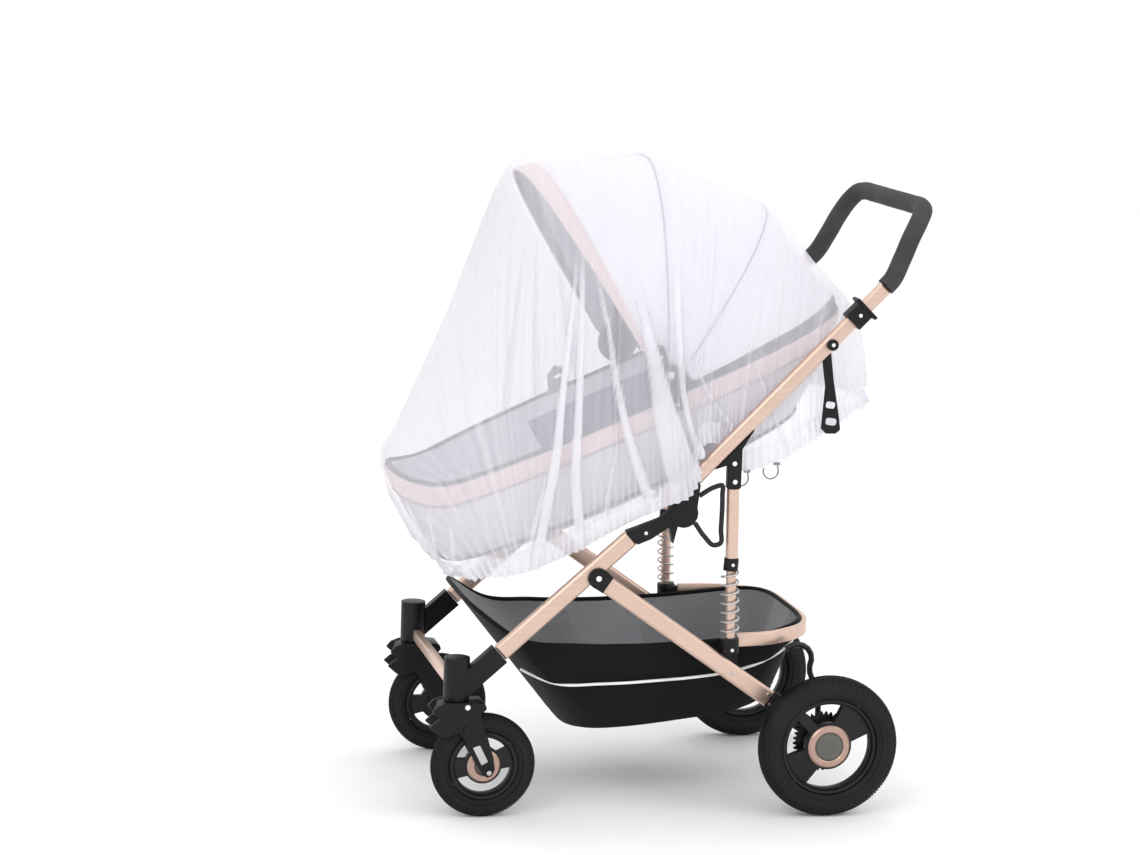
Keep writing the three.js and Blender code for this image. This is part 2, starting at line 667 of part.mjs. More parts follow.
function flatRing(route, tall, thick, steps) {
  const path = new THREE.CatmullRomCurve3(route.map((p) => new THREE.Vector3(...p)), false, "centripetal");
  const geometry = new THREE.BoxGeometry(1, 1, 1, steps, 1, 1);
  const position = geometry.attributes.position;
  for (let i = 0; i < position.count; i += 1) {
    const t = position.getX(i) + 0.5;
    const tangent = path.getTangentAt(t);
    const side = new THREE.Vector3(tangent.y, -tangent.x, 0).normalize();
    const p = path.getPointAt(t).addScaledVector(side, -position.getY(i) * thick);
    position.setXYZ(i, p.x, p.y, p.z + position.getZ(i) * tall);
  }
  return geometry;
}

function rearHoop() {
  const half = [
    [132.5, 207, 300], [190, 201, 301], [243, 174, 303], [265, 153, 304],
    [279, 128, 305], [287, 93, 306], [288, 0, 306],
  ];
  const route = [...half, ...half.slice(0, -1).reverse().map(([x, y, z]) => [x, -y, z])];
  return flatRing(route, 24, 9, 28);
}

const frontCrossbar = () => block([-368, -199.2, 212], [-354, 199.2, 233]);

function rearAxle() {
  const z = axleHeight(REAR_WHEEL.radius);
  const reach = REAR_WHEEL.y - REAR_RIM.bossHalf - GAP;
  const bracket = barOutline([191.3, 197.8], [REAR_WHEEL.x, z + 6], 34);
  return join(
    disc(REAR_WHEEL.x, z, 9, -reach, reach, 16),
    plate(bracket, FRAME_Y - 9, FRAME_Y + 9),
    disc(REAR_WHEEL.x, z, 19, FRAME_Y - 9, FRAME_Y + 20, 20),
    mirrored(plate(bracket, FRAME_Y - 9, FRAME_Y + 9)),
    mirrored(disc(REAR_WHEEL.x, z, 19, FRAME_Y - 9, FRAME_Y + 20, 20)),
    rearStay(),
    mirrored(rearStay()),
  );
}

// The bent bar that props the hoop on the axle
function rearStay() {
  const route = [
    [224, 206, 281.6], [240, 206, 290], [262, 204, 284], [273, 202, 266], [270, 201, 244],
    [277, 200, 224], [288, 200, 196], [290, 200, 160], [288, 200, 128],
  ];
  return rod(route, 5.5, 8, 18);
}

// Basket: a bag with a dipped rim, a sloping front and a hollow inside

const BASKET = { rimHalf: 191, floorHalf: 150, wall: 3, floorFront: 168, floorRear: 214 };
const BASKET_RIM = [
  { x: -332, z: 352 }, { x: -250, z: 300 }, { x: -150, z: 290 },
  { x: 40, z: 291 }, { x: 160, z: 300 }, { x: 283, z: 318 },
];
const BASKET_FLOOR = [
  { x: -150, z: 121 }, { x: 40, z: 139 }, { x: 186, z: 165 }, { x: 240, z: 188 },
];

// Where a turn round the basket meets its rim and its floor, and how far out to the side
function basketPoint(turn) {
  const power = 2 / 4.5;
  const c = bend(Math.cos(turn), power);
  const reach = c < 0 ? BASKET.floorFront : BASKET.floorRear;
  return { rimX: -24.5 + 307.5 * c, floorX: 23 + reach * c, s: bend(Math.sin(turn), power) };
}

function basket() {
  const wall = BASKET.wall;
  const rows = [
    { level: 0, share: 0, inset: 0 }, { level: 0, share: 0.6, inset: 0 },
    { level: 0, share: 0.92, inset: 0 },
    { level: 0.06, share: 1, inset: 0 }, { level: 0.5, share: 1, inset: 0 },
    { level: 1, share: 1, inset: 0 }, { level: 1, share: 1, inset: wall },
    { level: 0.5, share: 1, inset: wall }, { level: 0.1, share: 1, inset: wall },
    { level: 0.04, share: 0.9, inset: wall }, { level: 0.04, share: 0.6, inset: wall },
    { level: 0.04, share: 0, inset: wall },
  ];
  const profile = rows.map((row, i) => new THREE.Vector2(row.share === 0 ? 0 : 1, i));
  const geometry = new THREE.LatheGeometry(profile, 32);
  const position = geometry.attributes.position;
  for (let i = 0; i < position.count; i += 1) {
    const row = rows[Math.round(position.getY(i))];
    const turn = row.share === 0 ? 0 : Math.atan2(-position.getZ(i), position.getX(i));
    const { rimX, floorX, s } = basketPoint(turn);
    const shrink = 1 - row.inset / BASKET.rimHalf;
    const x = mix(23, mix(floorX, rimX, row.level), row.share * shrink);
    const y = s * mix(BASKET.floorHalf, BASKET.rimHalf, row.level) * row.share * shrink;
    const floor = lookUp(BASKET_FLOOR, "x", "z", mix(23, floorX, row.share));
    const rim = lookUp(BASKET_RIM, "x", "z", rimX);
    position.setXYZ(i, x, y, mix(floor, rim, row.level));
  }
  return geometry;
}

// Near side only: the hanging strap and the net's wire hooks

function strap() {
  return plate(
    [[258.6, underUpperTube(258.6)], [273.6, underUpperTube(273.6)], [281, 760], [293, 700], [297, 675],
      [289, 668], [271, 668], [262, 677], [263, 700], [266, 750]],
    FRAME_Y - 2, FRAME_Y + 1,
  );
}

// An open wire hook that hangs from a tab at the hem: its middle, and its turn in degrees from the tab
// to the free end
function netHook({ x, z, y, radius, from, to }) {
  const steps = 12;
  const arc = Array.from({ length: steps + 1 }, (_, k) => {
    const turn = radians(mix(from, to, k / steps));
    return [x + radius * Math.cos(turn), y, z + radius * Math.sin(turn)];
  });
  const [topX, , topZ] = arc[0];
  const tab = block([topX - 8, y - 2.5, topZ + 4], [topX + 5, y + 2.5, topZ + 9]);
  return join(rod([[topX, y, topZ + 5], ...arc], 1.4, 6, 24), tab);
}

const REAR_HOOK = { x: 181, z: 599.2, y: 207.5, radius: 13.5, from: 28, to: -205 };
const FRONT_HOOK = { x: 127, z: 587.2, y: 209.5, radius: 13.5, from: 25, to: -200 };

// Finishes

const finish = (color, roughness, metalness = 0, more = {}) =>
  new THREE.MeshStandardMaterial({ color, roughness, metalness, ...more });

const FINISH = {
  net: finish(0xf4f2f8, 0.9, 0, { transparent: true, opacity: 0.55, side: THREE.DoubleSide }),
  whiteCloth: finish(0xf1f0f2, 0.85),
  pinkCloth: finish(0xf0d9d6, 0.8),
  greyTrim: finish(0x6f6c76, 0.7),
  lining: finish(0xc9c4d2, 0.9),
  champagne: finish(0xe3bda6, 0.35, 0.9),
  blackPlastic: finish(0x1f1e22, 0.5),
  foam: finish(0x2c2c2e, 0.85),
  rubber: finish(0x26262a, 0.75),
  blackCloth: finish(0x17171b, 0.9),
  steel: finish(0x9a9aa0, 0.4, 1),
};

// The scene graph

const group = new THREE.Group();
const add = (name, geometry, material) => {
  const mesh = new THREE.Mesh(geometry, material);
  mesh.name = name;
  group.add(mesh);
};

// A piece built for the far side goes in on both sides
const addPair = (name, geometry, material) => {
  add(`${name}_far`, geometry, material);
  add(`${name}_near`, mirrored(geometry), material);
};

add("net", netGeometry(), FINISH.net);
add("hood_fabric", hoodFabric(), FINISH.whiteCloth);
add("hood_brim", hoodBrim(), FINISH.pinkCloth);
add("hood_frame", hoodFrame(), FINISH.greyTrim);
add("hood_trim", rearTrim(), FINISH.greyTrim);
add("carrycot_shell", cotShell(), FINISH.whiteCloth);
add("carrycot_band", cotBand(), FINISH.pinkCloth);
add("mattress", mattress(), FINISH.lining);

addPair("hood_lever", hoodLever(), FINISH.greyTrim);
addPair("carrycot_adapter", carrycotAdapter(), FINISH.blackPlastic);
addPair("lower_tube", lowerTube(), FINISH.champagne);
addPair("upper_tube", upperTube(), FINISH.champagne);
addPair("rear_leg", rearLeg(), FINISH.champagne);
addPair("hub", hub(), FINISH.blackPlastic);
addPair("knuckle", knuckle(), FINISH.blackPlastic);
addPair("clamp", clampCollar(), FINISH.blackPlastic);
addPair("tube_knob", tubeKnob(), FINISH.blackPlastic);
addPair("strut_bracket", strutBracket(), FINISH.blackPlastic);
addPair("strut_tube", strutTube(), FINISH.champagne);
addPair("spring", spring(), FINISH.steel);
addPair("strut_socket", strutSocket(), FINISH.blackPlastic);
addPair("u_bar", uBar(), FINISH.blackPlastic);
addPair("front_housing", frontHousing(), FINISH.blackPlastic);
addPair("front_fork", frontFork(), FINISH.blackPlastic);
addPair("front_tyre", tyre(FRONT_WHEEL), FINISH.rubber);
addPair("front_rim", wheelRim(FRONT_WHEEL, FRONT_RIM), FINISH.blackPlastic);
addPair("front_ring", hubRing(FRONT_WHEEL, 9.3, 15), FINISH.champagne);
addPair("rear_tyre", tyre(REAR_WHEEL), FINISH.rubber);
addPair("rear_rim", wheelRim(REAR_WHEEL, REAR_RIM), FINISH.blackPlastic);
addPair("rear_ring", hubRing(REAR_WHEEL, 10.3, 25), FINISH.champagne);

add("handle_grip", handleGrip(), FINISH.foam);
add("front_crossbar", frontCrossbar(), FINISH.champagne);
add("rear_hoop", rearHoop(), FINISH.champagne);
add("rear_axle", rearAxle(), FINISH.blackPlastic);
add("basket", basket(), FINISH.blackCloth);
add("strap", mirrored(strap()), FINISH.blackPlastic);
add("net_hook_rear", mirrored(netHook(REAR_HOOK)), FINISH.steel);
add("net_hook_front", mirrored(netHook(FRONT_HOOK)), FINISH.steel);

export default group;
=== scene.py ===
"""Mosquito net draped over a stroller: the looks of every piece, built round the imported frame.

Metres. +X runs from the foot end to the push handle, +Z is up, and the near side is -Y.
"""

import logging
import math
from dataclasses import dataclass
from enum import Enum
from typing import Callable

import bmesh
import bpy
import numpy as np
from mathutils import Matrix, Vector


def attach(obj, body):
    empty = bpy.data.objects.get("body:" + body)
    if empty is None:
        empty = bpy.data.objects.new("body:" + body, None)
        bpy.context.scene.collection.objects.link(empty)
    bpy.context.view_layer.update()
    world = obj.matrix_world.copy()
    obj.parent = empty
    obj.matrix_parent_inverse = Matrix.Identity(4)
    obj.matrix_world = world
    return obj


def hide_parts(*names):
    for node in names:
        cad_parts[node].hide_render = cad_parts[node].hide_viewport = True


logging.basicConfig(level=logging.INFO, format="%(message)s")
log = logging.getLogger("stroller_net")

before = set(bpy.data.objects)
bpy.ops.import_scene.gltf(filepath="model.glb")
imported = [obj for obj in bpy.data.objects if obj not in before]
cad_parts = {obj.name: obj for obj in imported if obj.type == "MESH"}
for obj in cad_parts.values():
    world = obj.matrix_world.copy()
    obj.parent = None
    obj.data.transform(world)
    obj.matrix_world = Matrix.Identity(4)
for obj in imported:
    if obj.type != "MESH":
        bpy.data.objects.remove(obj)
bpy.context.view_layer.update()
BODY = "root"
MILLIMETRE_WAVE = 314.2  # the scale at which a wave texture's bands lie 1 mm apart on coordinates in metres
MIRROR_Y = (1, -1, 1)
TINY = 1e-9  # keeps roots and divisions clear of zero

Place = Callable[[np.ndarray, np.ndarray], np.ndarray]
Triple = tuple[float, float, float]
Route = list[Triple] | np.ndarray
Outline = list[tuple[float, float]]
Span = tuple[float, float]
Socket = bpy.types.NodeSocket


class Side(Enum):
    """The two sides of the stroller, as the sign of their y."""

    NEAR = -1
    FAR = 1

    @property
    def word(self) -> str:
        """The ending of the node names on this side."""
        return self.name.lower()


# Mathematics


def smooth_step(t: np.ndarray) -> np.ndarray:
    """Eases 0 to 1, and holds outside that range."""
    t = np.clip(t, 0.0, 1.0)
    return t * t * (3.0 - 2.0 * t)


def curve_through(xs: list[float], ys: list[float], at: np.ndarray) -> np.ndarray:
    """Reads a smooth curve that passes through every row of a table.

    Args:
        xs: The table's rising places.
        ys: The values there.
        at: Where to read it.

    Returns:
        The values at those places, held past both ends.
    """
    x, y = np.asarray(xs, float), np.asarray(ys, float)
    slope = np.gradient(y, x)
    i = np.clip(np.searchsorted(x, at) - 1, 0, len(x) - 2)
    step = x[i + 1] - x[i]
    t = np.clip((at - x[i]) / step, 0.0, 1.0)
    return (
        (1 + 2 * t) * (1 - t) ** 2 * y[i] + t * (1 - t) ** 2 * step * slope[i]
        + t * t * (3 - 2 * t) * y[i + 1] + t * t * (t - 1) * step * slope[i + 1]
    )


def travelled(p: np.ndarray, axis: int) -> np.ndarray:
    """Measures the way along every line of a grid of points, from 0 at the line's start."""
    steps = np.linalg.norm(np.diff(p, axis=axis), axis=-1)
    return np.insert(np.cumsum(steps, axis=axis), 0, 0.0, axis=axis)


def bent(value: np.ndarray, power: float | np.ndarray) -> np.ndarray:
    """Raises the size of a signed value to a power and keeps its sign."""
    return np.sign(value) * np.abs(value) ** power


def rounded_route(points: Route, per_span: int = 8) -> Route:
    """Rounds a given route by a curve through its points.

    Args:
        points: The places that the route passes.
        per_span: Steps between two of them.

    Returns:
        The finer route.
    """
    places = np.asarray(points, float)
    gaps = np.linalg.norm(np.diff(places, axis=0), axis=1)
    along = np.concatenate([[0.0], np.cumsum(gaps)])
    spans = [np.linspace(a, b, per_span, endpoint=False) for a, b in zip(along, along[1:])]
    fine = np.concatenate([*spans, along[-1:]])
    return np.stack([curve_through(along, places[:, axis], fine) for axis in range(3)], axis=1)


def linear(hex_colour: str) -> tuple[float, float, float, float]:
    """Turns an sRGB hex value into a linear colour with alpha 1."""
    parts = [int(hex_colour[i:i + 2], 16) / 255 for i in (1, 3, 5)]
    return (*(v / 12.92 if v <= 0.04045 else ((v + 0.055) / 1.055) ** 2.4 for v in parts), 1.0)


# Finishes


class Graph:
    """The shader graph of one material while it is being built."""

    def __init__(self, name: str) -> None:
        """Starts a material whose graph holds only its coordinates."""
        self.material = bpy.data.materials.new(name)
        self.material.use_nodes = True
        self.tree = self.material.node_tree
        self.tree.nodes.clear()
        places = self.add("TexCoord").outputs
        self.solid, self.flat = places["Object"], places["UV"]

    def add(self, kind: str, settings: dict | None = None, links: dict | None = None) -> bpy.types.Node:
        """Adds a node.

        Args:
            kind: The node's Blender type without its common prefix.
            settings: Values for its sockets or its own options, by name or socket number.
            links: Output sockets for its input sockets, by name or number.

        Returns:
            The node.
        """
        node = self.tree.nodes.new("ShaderNode" + kind)
        for key, value in (settings or {}).items():
            if isinstance(key, int) or key in node.inputs:
                node.inputs[key].default_value = value
            else:
                setattr(node, key, value)
        for key, socket in (links or {}).items():
            self.tree.links.new(socket, node.inputs[key])
        return node

    def mapped(self, where: Socket, degrees: Triple = (0, 0, 0), scale: Triple = (1, 1, 1)) -> Socket:
        """Turns and stretches coordinates."""
        turn = tuple(math.radians(angle) for angle in degrees)
        return self.add("Mapping", {"Rotation": turn, "Scale": scale}, {"Vector": where}).outputs[0]

    def noise(self, where: Socket, scale: float, detail: float, distortion: float = 0.0) -> Socket:
        """Adds cloudy noise at coordinates."""
        settings = {"Scale": scale, "Detail": detail, "Distortion": distortion}
        return self.add("TexNoise", settings, {"Vector": where}).outputs[0]

    def threads(self, where: Socket, size_mm: float, distortion: float, crossing: str) -> Socket:
        """Adds two crossing sets of soft bands, size_mm apart on coordinates in metres.

        Args:
            where: The coordinates.
            size_mm: From one band to the next.
            distortion: How far the bands waver.
            crossing: The operation that joins the two sets.

        Returns:
            The strength of the bands.
        """
        settings = {"wave_type": "BANDS", "Scale": MILLIMETRE_WAVE / size_mm, "Distortion": distortion}
        first, second = (
            self.add("TexWave", settings | {"bands_direction": axis}, {"Vector": where}).outputs["Fac"]
            for axis in "XY"
        )
        return self.joined(crossing, first, second)

    def joined(self, operation: str, first: Socket, second: Socket, clamp: bool = False) -> Socket:
        """Joins two values by an arithmetic operation."""
        settings = {"operation": operation, "use_clamp": clamp}
        return self.add("Math", settings, {0: first, 1: second}).outputs[0]

    def spread(self, value: Socket, to: Span, start: Span = (0.0, 1.0)) -> Socket:
        """Maps a value from one range to another and holds it at both ends."""
        settings = {"From Min": start[0], "From Max": start[1], "To Min": to[0], "To Max": to[1]}
        return self.add("MapRange", settings, {"Value": value}).outputs[0]

    def tint(self, colour: str, shade: str, share: Socket) -> Socket:
        """Mixes two sRGB colours."""
        settings = {"data_type": "RGBA", 6: linear(colour), 7: linear(shade)}
        return self.add("Mix", settings, {0: share}).outputs[2]

    def relief(self, height: Socket, strength: float, depth: float, under: Socket | None = None) -> Socket:
        """Turns a height into a bump of some depth, over another bump if there is one."""
        links = {"Height": height} if under is None else {"Height": height, "Normal": under}
        return self.add("Bump", {"Strength": strength, "Distance": depth}, links).outputs[0]

    def shader(self, settings: dict, links: dict) -> Socket:
        """Adds the main surface shader."""
        return self.add("BsdfPrincipled", settings, links).outputs[0]

    def finish(self, surface: Socket) -> bpy.types.Material:
        """Gives the material its surface.

        Args:
            surface: The shader that it shows.

        Returns:
            The finished material.
        """
        self.add("OutputMaterial", {}, {"Surface": surface})
        return self.material


@dataclass(frozen=True)
class Moulded:
    """Injection-moulded plastic, rubber or foam: an even colour over a spark-eroded or foamed grain.

    The eye gets small soft highlights broken by the grain, and slightly paler, duller patches from handling.
    """

    name: str
    colour: str
    worn: str
    roughness: float
    grain_mm: float
    bump: float
    specular: float = 0.45

    def material(self) -> bpy.types.Material:
        """Builds the material on Object coordinates."""
        graph = Graph(self.name)
        grain = graph.noise(graph.solid, 1000 / self.grain_mm, 2.0)
        patches = graph.noise(graph.solid, 14.0, 4.0)
        tint = graph.tint(self.colour, self.worn, graph.spread(patches, (0.0, 1.0), (0.45, 0.75)))
        dull = graph.spread(patches, (self.roughness - 0.06, self.roughness + 0.1))
        relief = graph.relief(grain, self.bump, self.grain_mm / 2000)
        return graph.finish(graph.shader(
            {"Specular IOR Level": self.specular}, {"Base Color": tint, "Roughness": dull, "Normal": relief},
        ))


@dataclass(frozen=True)
class Metal:
    """Anodised or drawn metal: a tinted reflection, softened by fine matt etching and faint long streaks."""

    name: str
    colour: str
    streak: str
    roughness: float
    metallic: float
    etch_mm: float = 1.2

    def material(self) -> bpy.types.Material:
        """Builds the material on Object coordinates, with its streaks along X and Z."""
        graph = Graph(self.name)
        drawn = graph.mapped(graph.solid, (0, 45, 0), (6.0, 120.0, 160.0))
        streaks = graph.noise(drawn, 1.0, 3.0)
        etch = graph.noise(graph.solid, 1000 / self.etch_mm, 1.0)
        tint = graph.tint(self.colour, self.streak, streaks)
        dull = graph.spread(streaks, (self.roughness - 0.07, self.roughness + 0.09))
        relief = graph.relief(etch, 0.12, self.etch_mm / 4000)
        return graph.finish(graph.shader(
            {"Metallic": self.metallic}, {"Base Color": tint, "Roughness": dull, "Normal": relief},
        ))


@dataclass(frozen=True)
class Woven:
    """Plain-woven polyester: crossing threads that catch a soft sheen, and faint creases, along which
    painted shade darkens its colour.

    Real threads are under 0.5 mm apart and can't show, so they are drawn coarser, at thread_mm.
    """

    name: str
    colour: str
    # The darker colour that painted shade turns the cloth to along its creases.
    shade: str
    thread_mm: float
    bump: float = 0.35
    sheen: float = 0.25
    roughness: float = 0.85
    creases: float = 9.0

    def material(self) -> bpy.types.Material:
        """Builds the material on the piece's UV map, which is in metres."""
        graph = Graph(self.name)
        weave = graph.threads(graph.flat, self.thread_mm, 0.4, "MULTIPLY")
        folds = graph.noise(graph.solid, self.creases, 5.0, 0.6)
        raised = graph.relief(weave, self.bump, self.thread_mm / 4000)
        settings = {
            "Roughness": self.roughness, "Sheen Weight": self.sheen, "Sheen Roughness": 0.4,
            "Specular IOR Level": 0.2,
        }
        return graph.finish(graph.shader(settings, {
            # Painted shade: the crease noise turns the colour towards the darker shade colour, over the real
            # crease bump.
            "Base Color": graph.tint(self.colour, self.shade, folds),
            "Normal": graph.relief(folds, 0.25, 0.004, raised),
        }))


@dataclass(frozen=True)
class Tulle:
    """Knitted polyester netting: fine white threads round small holes, so that it veils what is behind it.

    One layer hides about half. Where it is gathered the threads crowd together and it turns nearly opaque.
    Its real holes are about 1.2 mm wide, and they are drawn coarser, at hole_mm.
    """

    name: str
    colour: str
    shade: str
    hole_mm: float
    veil: float
    gathered_veil: float
    streak_veil: float = 0.10
    glow: float = 0.35

    def material(self) -> bpy.types.Material:
        """Builds the material on the UV map, in metres, and on how gathered the cloth is."""
        graph = Graph(self.name)
        gather = graph.add("Attribute", {"attribute_name": "gather"}).outputs["Fac"]
        knit = graph.threads(graph.mapped(graph.flat, (0, 0, 45)), self.hole_mm, 0.0, "MAXIMUM")
        knit_veil = graph.spread(knit, (self.veil - 0.07, self.veil + 0.05), (0.4, 1.0))
        streaks = graph.noise(graph.mapped(graph.flat, scale=(38.0, 1.6, 1.0)), 1.0, 3.0)
        streak_veil = graph.spread(streaks, (-0.04, self.streak_veil), (0.4, 0.8))
        loose = graph.joined("ADD", knit_veil, streak_veil, clamp=True)
        drawn = graph.add("Mix", {"data_type": "FLOAT", 3: self.gathered_veil}, {0: gather, 2: loose})
        tint = graph.tint(self.colour, self.shade, graph.noise(graph.solid, 7.0, 3.0))
        thread = graph.shader(
            {"Roughness": 0.75, "Sheen Weight": 0.3, "Sheen Roughness": 0.35, "Specular IOR Level": 0.25},
            {"Base Color": tint, "Normal": graph.relief(streaks, 0.2, 0.003)},
        )
        through = graph.add("BsdfTranslucent", {}, {"Color": tint}).outputs[0]
        lit = graph.add("MixShader", {0: self.glow}, {1: thread, 2: through}).outputs[0]
        gap = graph.add("BsdfTransparent").outputs[0]
        return graph.finish(graph.add("MixShader", {}, {0: drawn.outputs[0], 1: gap, 2: lit}).outputs[0])


class Finishes:
    """Every finish of the stroller and its net, built once and shared."""

    def __init__(self) -> None:
        """Builds the materials."""
        self.net = Tulle("knitted_polyester_net", "#f8f8fc", "#f0eff6", 1.6, 0.50, 0.95).material()
        # The second colour of each woven finish is painted shade along its creases.
        self.hood_cloth = Woven("woven_hood_polyester", "#ebeaee", "#dfdee5", 1.6).material()
        # The carrycot cover's colour is its pale grey cloth, darkened further by painted shade standing in
        # for the shade on the carrycot's sides.
        self.cot_cloth = Woven("woven_carrycot_polyester", "#dad7da", "#cdcacf", 1.6).material()
        self.pink_cloth = Woven("woven_pink_binding", "#e1d0ce", "#d7c4c2", 1.4).material()
        self.lining = Woven("brushed_pale_lining", "#e6e6ec", "#dadae2", 1.6, 0.2, 0.4).material()
        self.lilac_lining = Woven("brushed_lilac_lining", "#8f8ba8", "#807c99", 1.6, 0.2, 0.5).material()
        self.hood_lining = Woven("woven_grey_lining", "#cfced7", "#bdbcc6", 1.6, 0.3, 0.3).material()
        self.dark_facing = Woven("woven_dark_facing", "#93919e", "#84828f", 1.6, 0.3, 0.3).material()
        self.webbing = Woven("ribbed_grey_webbing", "#6a6772", "#57545f", 3.2, 0.6, 0.2).material()
        self.seam = Moulded("stitched_grey_thread", "#a7a4b0", "#95929e", 0.8, 1.0, 0.5, 0.2).material()
        self.basket_cloth = Woven(
            "woven_black_polyester", "#111113", "#0a0a0c", 2.4, 0.5, 0.1,
        ).material()
        self.basket_mesh = Woven("open_grey_mesh", "#b7b8bb", "#98999d", 5.0, 0.9, 0.2).material()
        self.piping = Moulded("white_corded_piping", "#f1f1f1", "#dcdcdc", 0.55, 1.5, 0.3).material()
        self.black_plastic = Moulded(
            "moulded_black_nylon", "#0b0b0d", "#151518", 0.4, 1.2, 0.22, 0.26,
        ).material()
        self.grey_plastic = Moulded(
            "moulded_grey_nylon", "#55535c", "#64626c", 0.5, 1.2, 0.22,
        ).material()
        self.rim_plastic = Moulded(
            "moulded_black_rim", "#0f0f11", "#19191c", 0.45, 1.6, 0.2, 0.32,
        ).material()
        self.cap_plastic = Moulded("moulded_grey_cap", "#585753", "#666560", 0.45, 1.0, 0.2).material()
        self.grey_patch = Moulded("moulded_grey_patch", "#bcbbbd", "#a9a8aa", 0.5, 1.2, 0.1).material()
        self.white_plastic = Moulded(
            "moulded_white_rivet", "#ecebea", "#dcdbd9", 0.35, 1.0, 0.1,
        ).material()
        self.tyre = Moulded(
            "moulded_tyre_rubber", "#0e0e10", "#19191c", 0.58, 1.8, 0.35, 0.26,
        ).material()
        self.grip = Moulded("foamed_grip", "#3a3a3c", "#47474a", 0.82, 2.2, 0.45, 0.3).material()
        self.black_steel = Moulded(
            "powder_coated_steel", "#101012", "#1c1c1f", 0.4, 1.8, 0.18, 0.4,
        ).material()
        self.champagne = Metal(
            "champagne_anodised_aluminium", "#cdae9c", "#dcc4b6", 0.34, 0.8,
        ).material()
        self.ring_metal = Metal("turned_champagne_ring", "#a98c7f", "#bb9f92", 0.3, 0.85).material()
        self.spring_wire = Metal("drawn_spring_steel", "#b9b4b2", "#cfcbc8", 0.3, 0.95).material()
        self.hook_wire = Metal("coated_hook_wire", "#85848a", "#98979d", 0.4, 0.8).material()


# Making pieces


def shown(name: str, bm: bmesh.types.BMesh, materials: list[bpy.types.Material],
          nodes: tuple[str, ...] = (), smooth_angle: float = 40.0) -> bpy.types.Object:
    """Turns a finished bmesh into a piece of the object, shaded smooth up to an angle, and frees it.

    Args:
        name: The piece's name.
        bm: Its shape, in place.
        materials: Its materials, in slot order.
        nodes: The frame's nodes that it stands for.
        smooth_angle: The shading's limit in degrees.

    Returns:
        The piece.
    """
    for edge in bm.edges:
        if len(edge.link_faces) == 2 and edge.calc_face_angle(0.0) > math.radians(smooth_angle):
            edge.smooth = False
    for face in bm.faces:
        face.smooth = True
    mesh = bpy.data.meshes.new(name)
    bm.to_mesh(mesh)
    bm.free()
    for material in materials:
        mesh.materials.append(material)
    piece = bpy.data.objects.new(name, mesh)
    bpy.context.scene.collection.objects.link(piece)
    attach(piece, BODY)
    if nodes:
        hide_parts(*nodes)
    return piece


def mirrored(bm: bmesh.types.BMesh) -> bmesh.types.BMesh:
    """Copies a bmesh to the other side of the middle plane, with its faces still pointing out."""
    copy = bm.copy()
    bmesh.ops.scale(copy, vec=MIRROR_Y, verts=copy.verts)
    bmesh.ops.reverse_faces(copy, faces=copy.faces)
    return copy


def warped_grid(place: Place, cells_u: int, cells_v: int, close: bool = False) -> bmesh.types.BMesh:
    """Bends a flat grid over a surface and gives it a UV map in metres.

    Args:
        place: Gives points for arrays of u and v, both from 0 to 1.
        cells_u: Cells along u.
        cells_v: Cells along v.
        close: True joins the edges that meet.

    Returns:
        The bent grid.
    """
    bm = bmesh.new()
    bmesh.ops.create_grid(bm, x_segments=cells_u, y_segments=cells_v, size=0.5)
    flat = np.array([v.co[:2] for v in bm.verts])
    u, v = np.clip(flat[:, 0] + 0.5, 0, 1), np.clip(flat[:, 1] + 0.5, 0, 1)
    bent_places = place(u, v)
    step = 1e-3
    middle = np.full(1, 0.5)
    size_u = np.linalg.norm(place(middle + step, middle) - place(middle - step, middle)) / (2 * step)
    size_v = np.linalg.norm(place(middle, middle + step) - place(middle, middle - step)) / (2 * step)
    layer = bm.loops.layers.uv.new("UVMap")
    for vert, (a, b), spot in zip(bm.verts, zip(u, v), bent_places):
        vert.co = spot
        for loop in vert.link_loops:
            loop[layer].uv = (a * size_u, b * size_v)
    if close:
        bmesh.ops.remove_doubles(bm, verts=bm.verts, dist=1e-5)
        bmesh.ops.recalc_face_normals(bm, faces=bm.faces)
    return bm


def tube(route: Route, radius: float, sides: int = 12, closed: bool = False) -> bmesh.types.BMesh:
    """Sweeps a round section along a route, with flat ends.

    Args:
        route: The points of its middle line.
        radius: The section's radius.
        sides: The section's corners.
        closed: True joins the last ring to the first.

    Returns:
        The tube.
    """
    bm = bmesh.new()
    points = [Vector(p) for p in route]
    count = len(points)
    rings = []
    turn = None
    before = None
    for i, point in enumerate(points):
        ahead = points[(i + 1) % count] if closed else points[min(i + 1, count - 1)]
        behind = points[i - 1] if (closed or i) else points[0]
        tangent = (ahead - behind).normalized()
        step = tangent.to_track_quat("Z", "Y") if before is None else before.rotation_difference(tangent)
        turn = step if turn is None else step @ turn
        before = tangent
        placed = Matrix.Translation(point) @ turn.to_matrix().to_4x4()
        made = bmesh.ops.create_circle(bm, cap_ends=False, radius=radius, segments=sides, matrix=placed)
        rings.append(made["verts"])
    pairs = list(zip(rings, rings[1:])) + ([(rings[-1], rings[0])] if closed else [])
    for low, high in pairs:
        edges = {e for ring in (low, high) for v in ring for e in v.link_edges if e.other_vert(v) in ring}
        bmesh.ops.bridge_loops(bm, edges=list(edges))
    if not closed:
        for ring in (rings[0], rings[-1]):
            bmesh.ops.contextual_create(bm, geom=ring)
    bmesh.ops.recalc_face_normals(bm, faces=bm.faces)
    return bm


